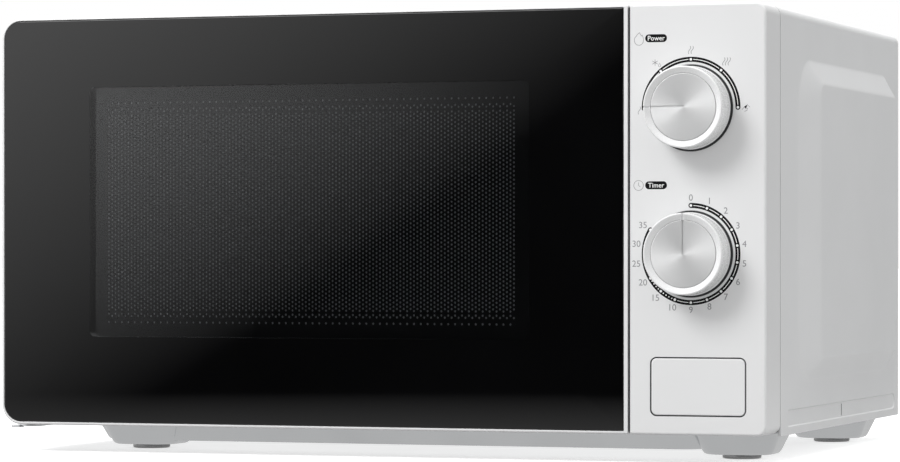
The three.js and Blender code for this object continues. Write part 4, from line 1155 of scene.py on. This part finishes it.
SOFTENED = {
    "cavity": ("cavity_enamel", 0.0), "front_plate": ("cavity_enamel", 0.15),
    "cord_gland": ("dark_plastic", 0.3), "rear_screw_left": ("spring_steel", 0.25),
    "rear_screw_right": ("spring_steel", 0.25), "hinge_bracket_lower": ("zinc_steel", 0.2),
    "hinge_bracket_upper": ("zinc_steel", 0.2), "timer_unit": ("grey_plastic", 0.4),
    "power_selector": ("grey_plastic", 0.4), "latch_board": ("grey_plastic", 0.25),
    "door_switch_primary": ("dark_plastic", 0.15), "door_switch_monitor": ("dark_plastic", 0.15),
    "door_switch_secondary": ("dark_plastic", 0.15), "magnetron": ("zinc_steel", 0.2),
    "waveguide": ("zinc_steel", 0.3), "waveguide_cover": ("mica", 0.15),
    "transformer_core": ("lamination", 0.4), "transformer_coil": ("copper_wire", 0.8),
    "capacitor": ("zinc_steel", 0.3), "diode": ("dark_plastic", 0.15),
    "filter_board": ("circuit_board", 0.2), "thermal_cutout": ("dark_plastic", 0.3),
    "fan_shroud": ("dark_plastic", 0.3), "fan_motor": ("lamination", 0.3),
    "fan_blade": ("grey_plastic", 0.3), "air_duct": ("dark_plastic", 0.3),
    "lamp_holder": ("zinc_steel", 0.2), "lamp": ("clear_glass", 0.0),
    "turntable_motor": ("zinc_steel", 0.3), "drive_coupler": ("grey_plastic", 0.4),
    "latch_hook": ("grey_plastic", 0.3), "latch_spring": ("spring_steel", 0.0),
    "power_shaft": ("grey_plastic", 0.3), "timer_shaft": ("grey_plastic", 0.3),
    "release_lever": ("grey_plastic", 0.25), "release_spring": ("spring_steel", 0.0),
}
for node, (slot_name, softness) in SOFTENED.items():
    recast(node, M[slot_name], slot_name, softness)

# ---- light, floor and camera ----
scene = bpy.context.scene
scene.view_settings.view_transform = "Standard"


def studio_world():
    """White to the eye, an even glow on the surfaces that is stronger from above, and in reflections a bright
    ceiling over a dark horizon that is broken by a soft glow at the front left."""
    world = bpy.data.worlds.new("studio")
    scene.world = world
    world.use_nodes = True
    tree = world.node_tree
    path = add(tree, "LightPath").outputs
    place = add(tree, "TexCoord").outputs["Generated"]
    axes = add(tree, "SeparateXYZ", {"Vector": place}).outputs

    def chosen(share, value, other):
        """The value where the share is one, the other where it is nought."""
        rest = maths(tree, "SUBTRACT", 1.0, share)
        return maths(tree, "ADD", maths(tree, "MULTIPLY", share, value), maths(tree, "MULTIPLY", rest, other))

    above = remap(tree, axes["Z"], 0.12, 0.4, 0.0, REFLECTED_CEILING, "SMOOTHSTEP")
    ambient = remap(tree, axes["Z"], -0.5, 0.7, AMBIENT_BELOW, AMBIENT_ABOVE, "SMOOTHSTEP")
    rise = maths(tree, "MULTIPLY", axes["Z"], 8.9)
    slant = maths(tree, "ADD", maths(tree, "MULTIPLY", axes["X"], -6.67), rise)
    glow = remap(tree, slant, 2.35, 3.45, 0.0, GLOW)
    reflected = maths(tree, "MAXIMUM", above, glow)
    sent = chosen(path["Is Glossy Ray"], reflected, ambient)
    feed(tree, tree.nodes["Background"], {"Color": (1, 1, 1, 1),
                                          "Strength": chosen(path["Is Camera Ray"], 1.0, sent)})


REFLECTED_CEILING = 0.95
GLOW = 1.6
AMBIENT_ABOVE, AMBIENT_BELOW = 0.72, 0.3
studio_world()


def area_light(name, place, side, power):
    """A square soft light that looks at the oven."""
    light = bpy.data.lights.new(name, "AREA")
    light.shape = "SQUARE"
    light.size = side
    light.energy = power
    lamp = linked(name, light)
    lamp.location = place
    lamp.rotation_euler = (Vector(LIT_POINT) - Vector(place)).to_track_quat("-Z", "Y").to_euler()


LIT_POINT = (0.05, 0.0, 0.13)
area_light("key", (-1.1, -1.9, 2.0), 1.2, 47)
area_light("top", (0.3, 0.3, 2.2), 1.6, 15)
area_light("side", (2.6, 0.2, 0.9), 1.4, 11)

FLOOR_BOUNCE = 0.42
FLOOR_GLOW = 0.55
MIRRORED_FLOOR = 0.62
FLOOR_DROP = 0.0001


def floor_paper():
    """White to the eye, dimmer as a source of bounced light, and mirrored only close to the oven."""
    material = surface("floor_paper", (0.93, 0.93, 0.93), 0.9, grain=0.05, mottle=0.003, mottle_size=0.5,
                       **{"Emission Color": (1, 1, 1, 1), "Specular IOR Level": 0.0})
    tree = material.node_tree
    path = add(tree, "LightPath").outputs
    camera_ray, glossy_ray = path["Is Camera Ray"], path["Is Glossy Ray"]
    place = tree.nodes["Texture Coordinate"].outputs["Object"]
    away = add(tree, "VectorMath", {0: place}, operation="LENGTH").outputs["Value"]
    gone = maths(tree, "MULTIPLY", glossy_ray, remap(tree, away, 0.5, 1.1, 0.0, 1.0))
    mirrored = maths(tree, "MULTIPLY", glossy_ray, MIRRORED_FLOOR)
    bounced = (FLOOR_BOUNCE, FLOOR_BOUNCE, FLOOR_BOUNCE, 1)
    bounce = add(tree, "Mix", {"Factor": glossy_ray, "A": bounced, "B": (0, 0, 0, 1)}, data_type="RGBA")
    paper = add(tree, "Mix", {"Factor": camera_ray, "A": bounce.outputs["Result"],
                              "B": tree.nodes["Color Ramp"].outputs["Color"]}, data_type="RGBA")
    feed(tree, tree.nodes["Principled BSDF"], {
        "Alpha": maths(tree, "SUBTRACT", 1.0, gone), "Base Color": paper.outputs["Result"],
        "Emission Strength": maths(tree, "MULTIPLY_ADD", camera_ray, FLOOR_GLOW, mirrored)})
    return material


def floor():
    """A pale floor far wider than the oven, a hair under its feet."""
    reach, cells = 30.0, 6
    width = cells + 1
    steps = [reach * (2 * k / cells - 1) for k in range(width)]
    verts = [(x, y, -FLOOR_DROP) for y in steps for x in steps]
    corners = [j * width + i for j in range(cells) for i in range(cells)]
    mesh = bpy.data.meshes.new("floor")
    mesh.from_pydata(verts, [], [(c, c + 1, c + width + 1, c + width) for c in corners])
    mesh.materials.append(floor_paper())
    obj = linked("floor", mesh)


floor()

camera = bpy.data.cameras.new("camera")
camera.lens, camera.sensor_width = 148.69, 36.0
camera.shift_x, camera.shift_y = 0.0, 0.0283
camera.clip_start, camera.clip_end = 0.05, 100.0
camera_object = linked("camera", camera)
camera_object.location = (0.71239, -2.06309, 0.11031)
camera_object.rotation_euler = (math.radians(90), 0, math.radians(19.264))
scene.camera = camera_object
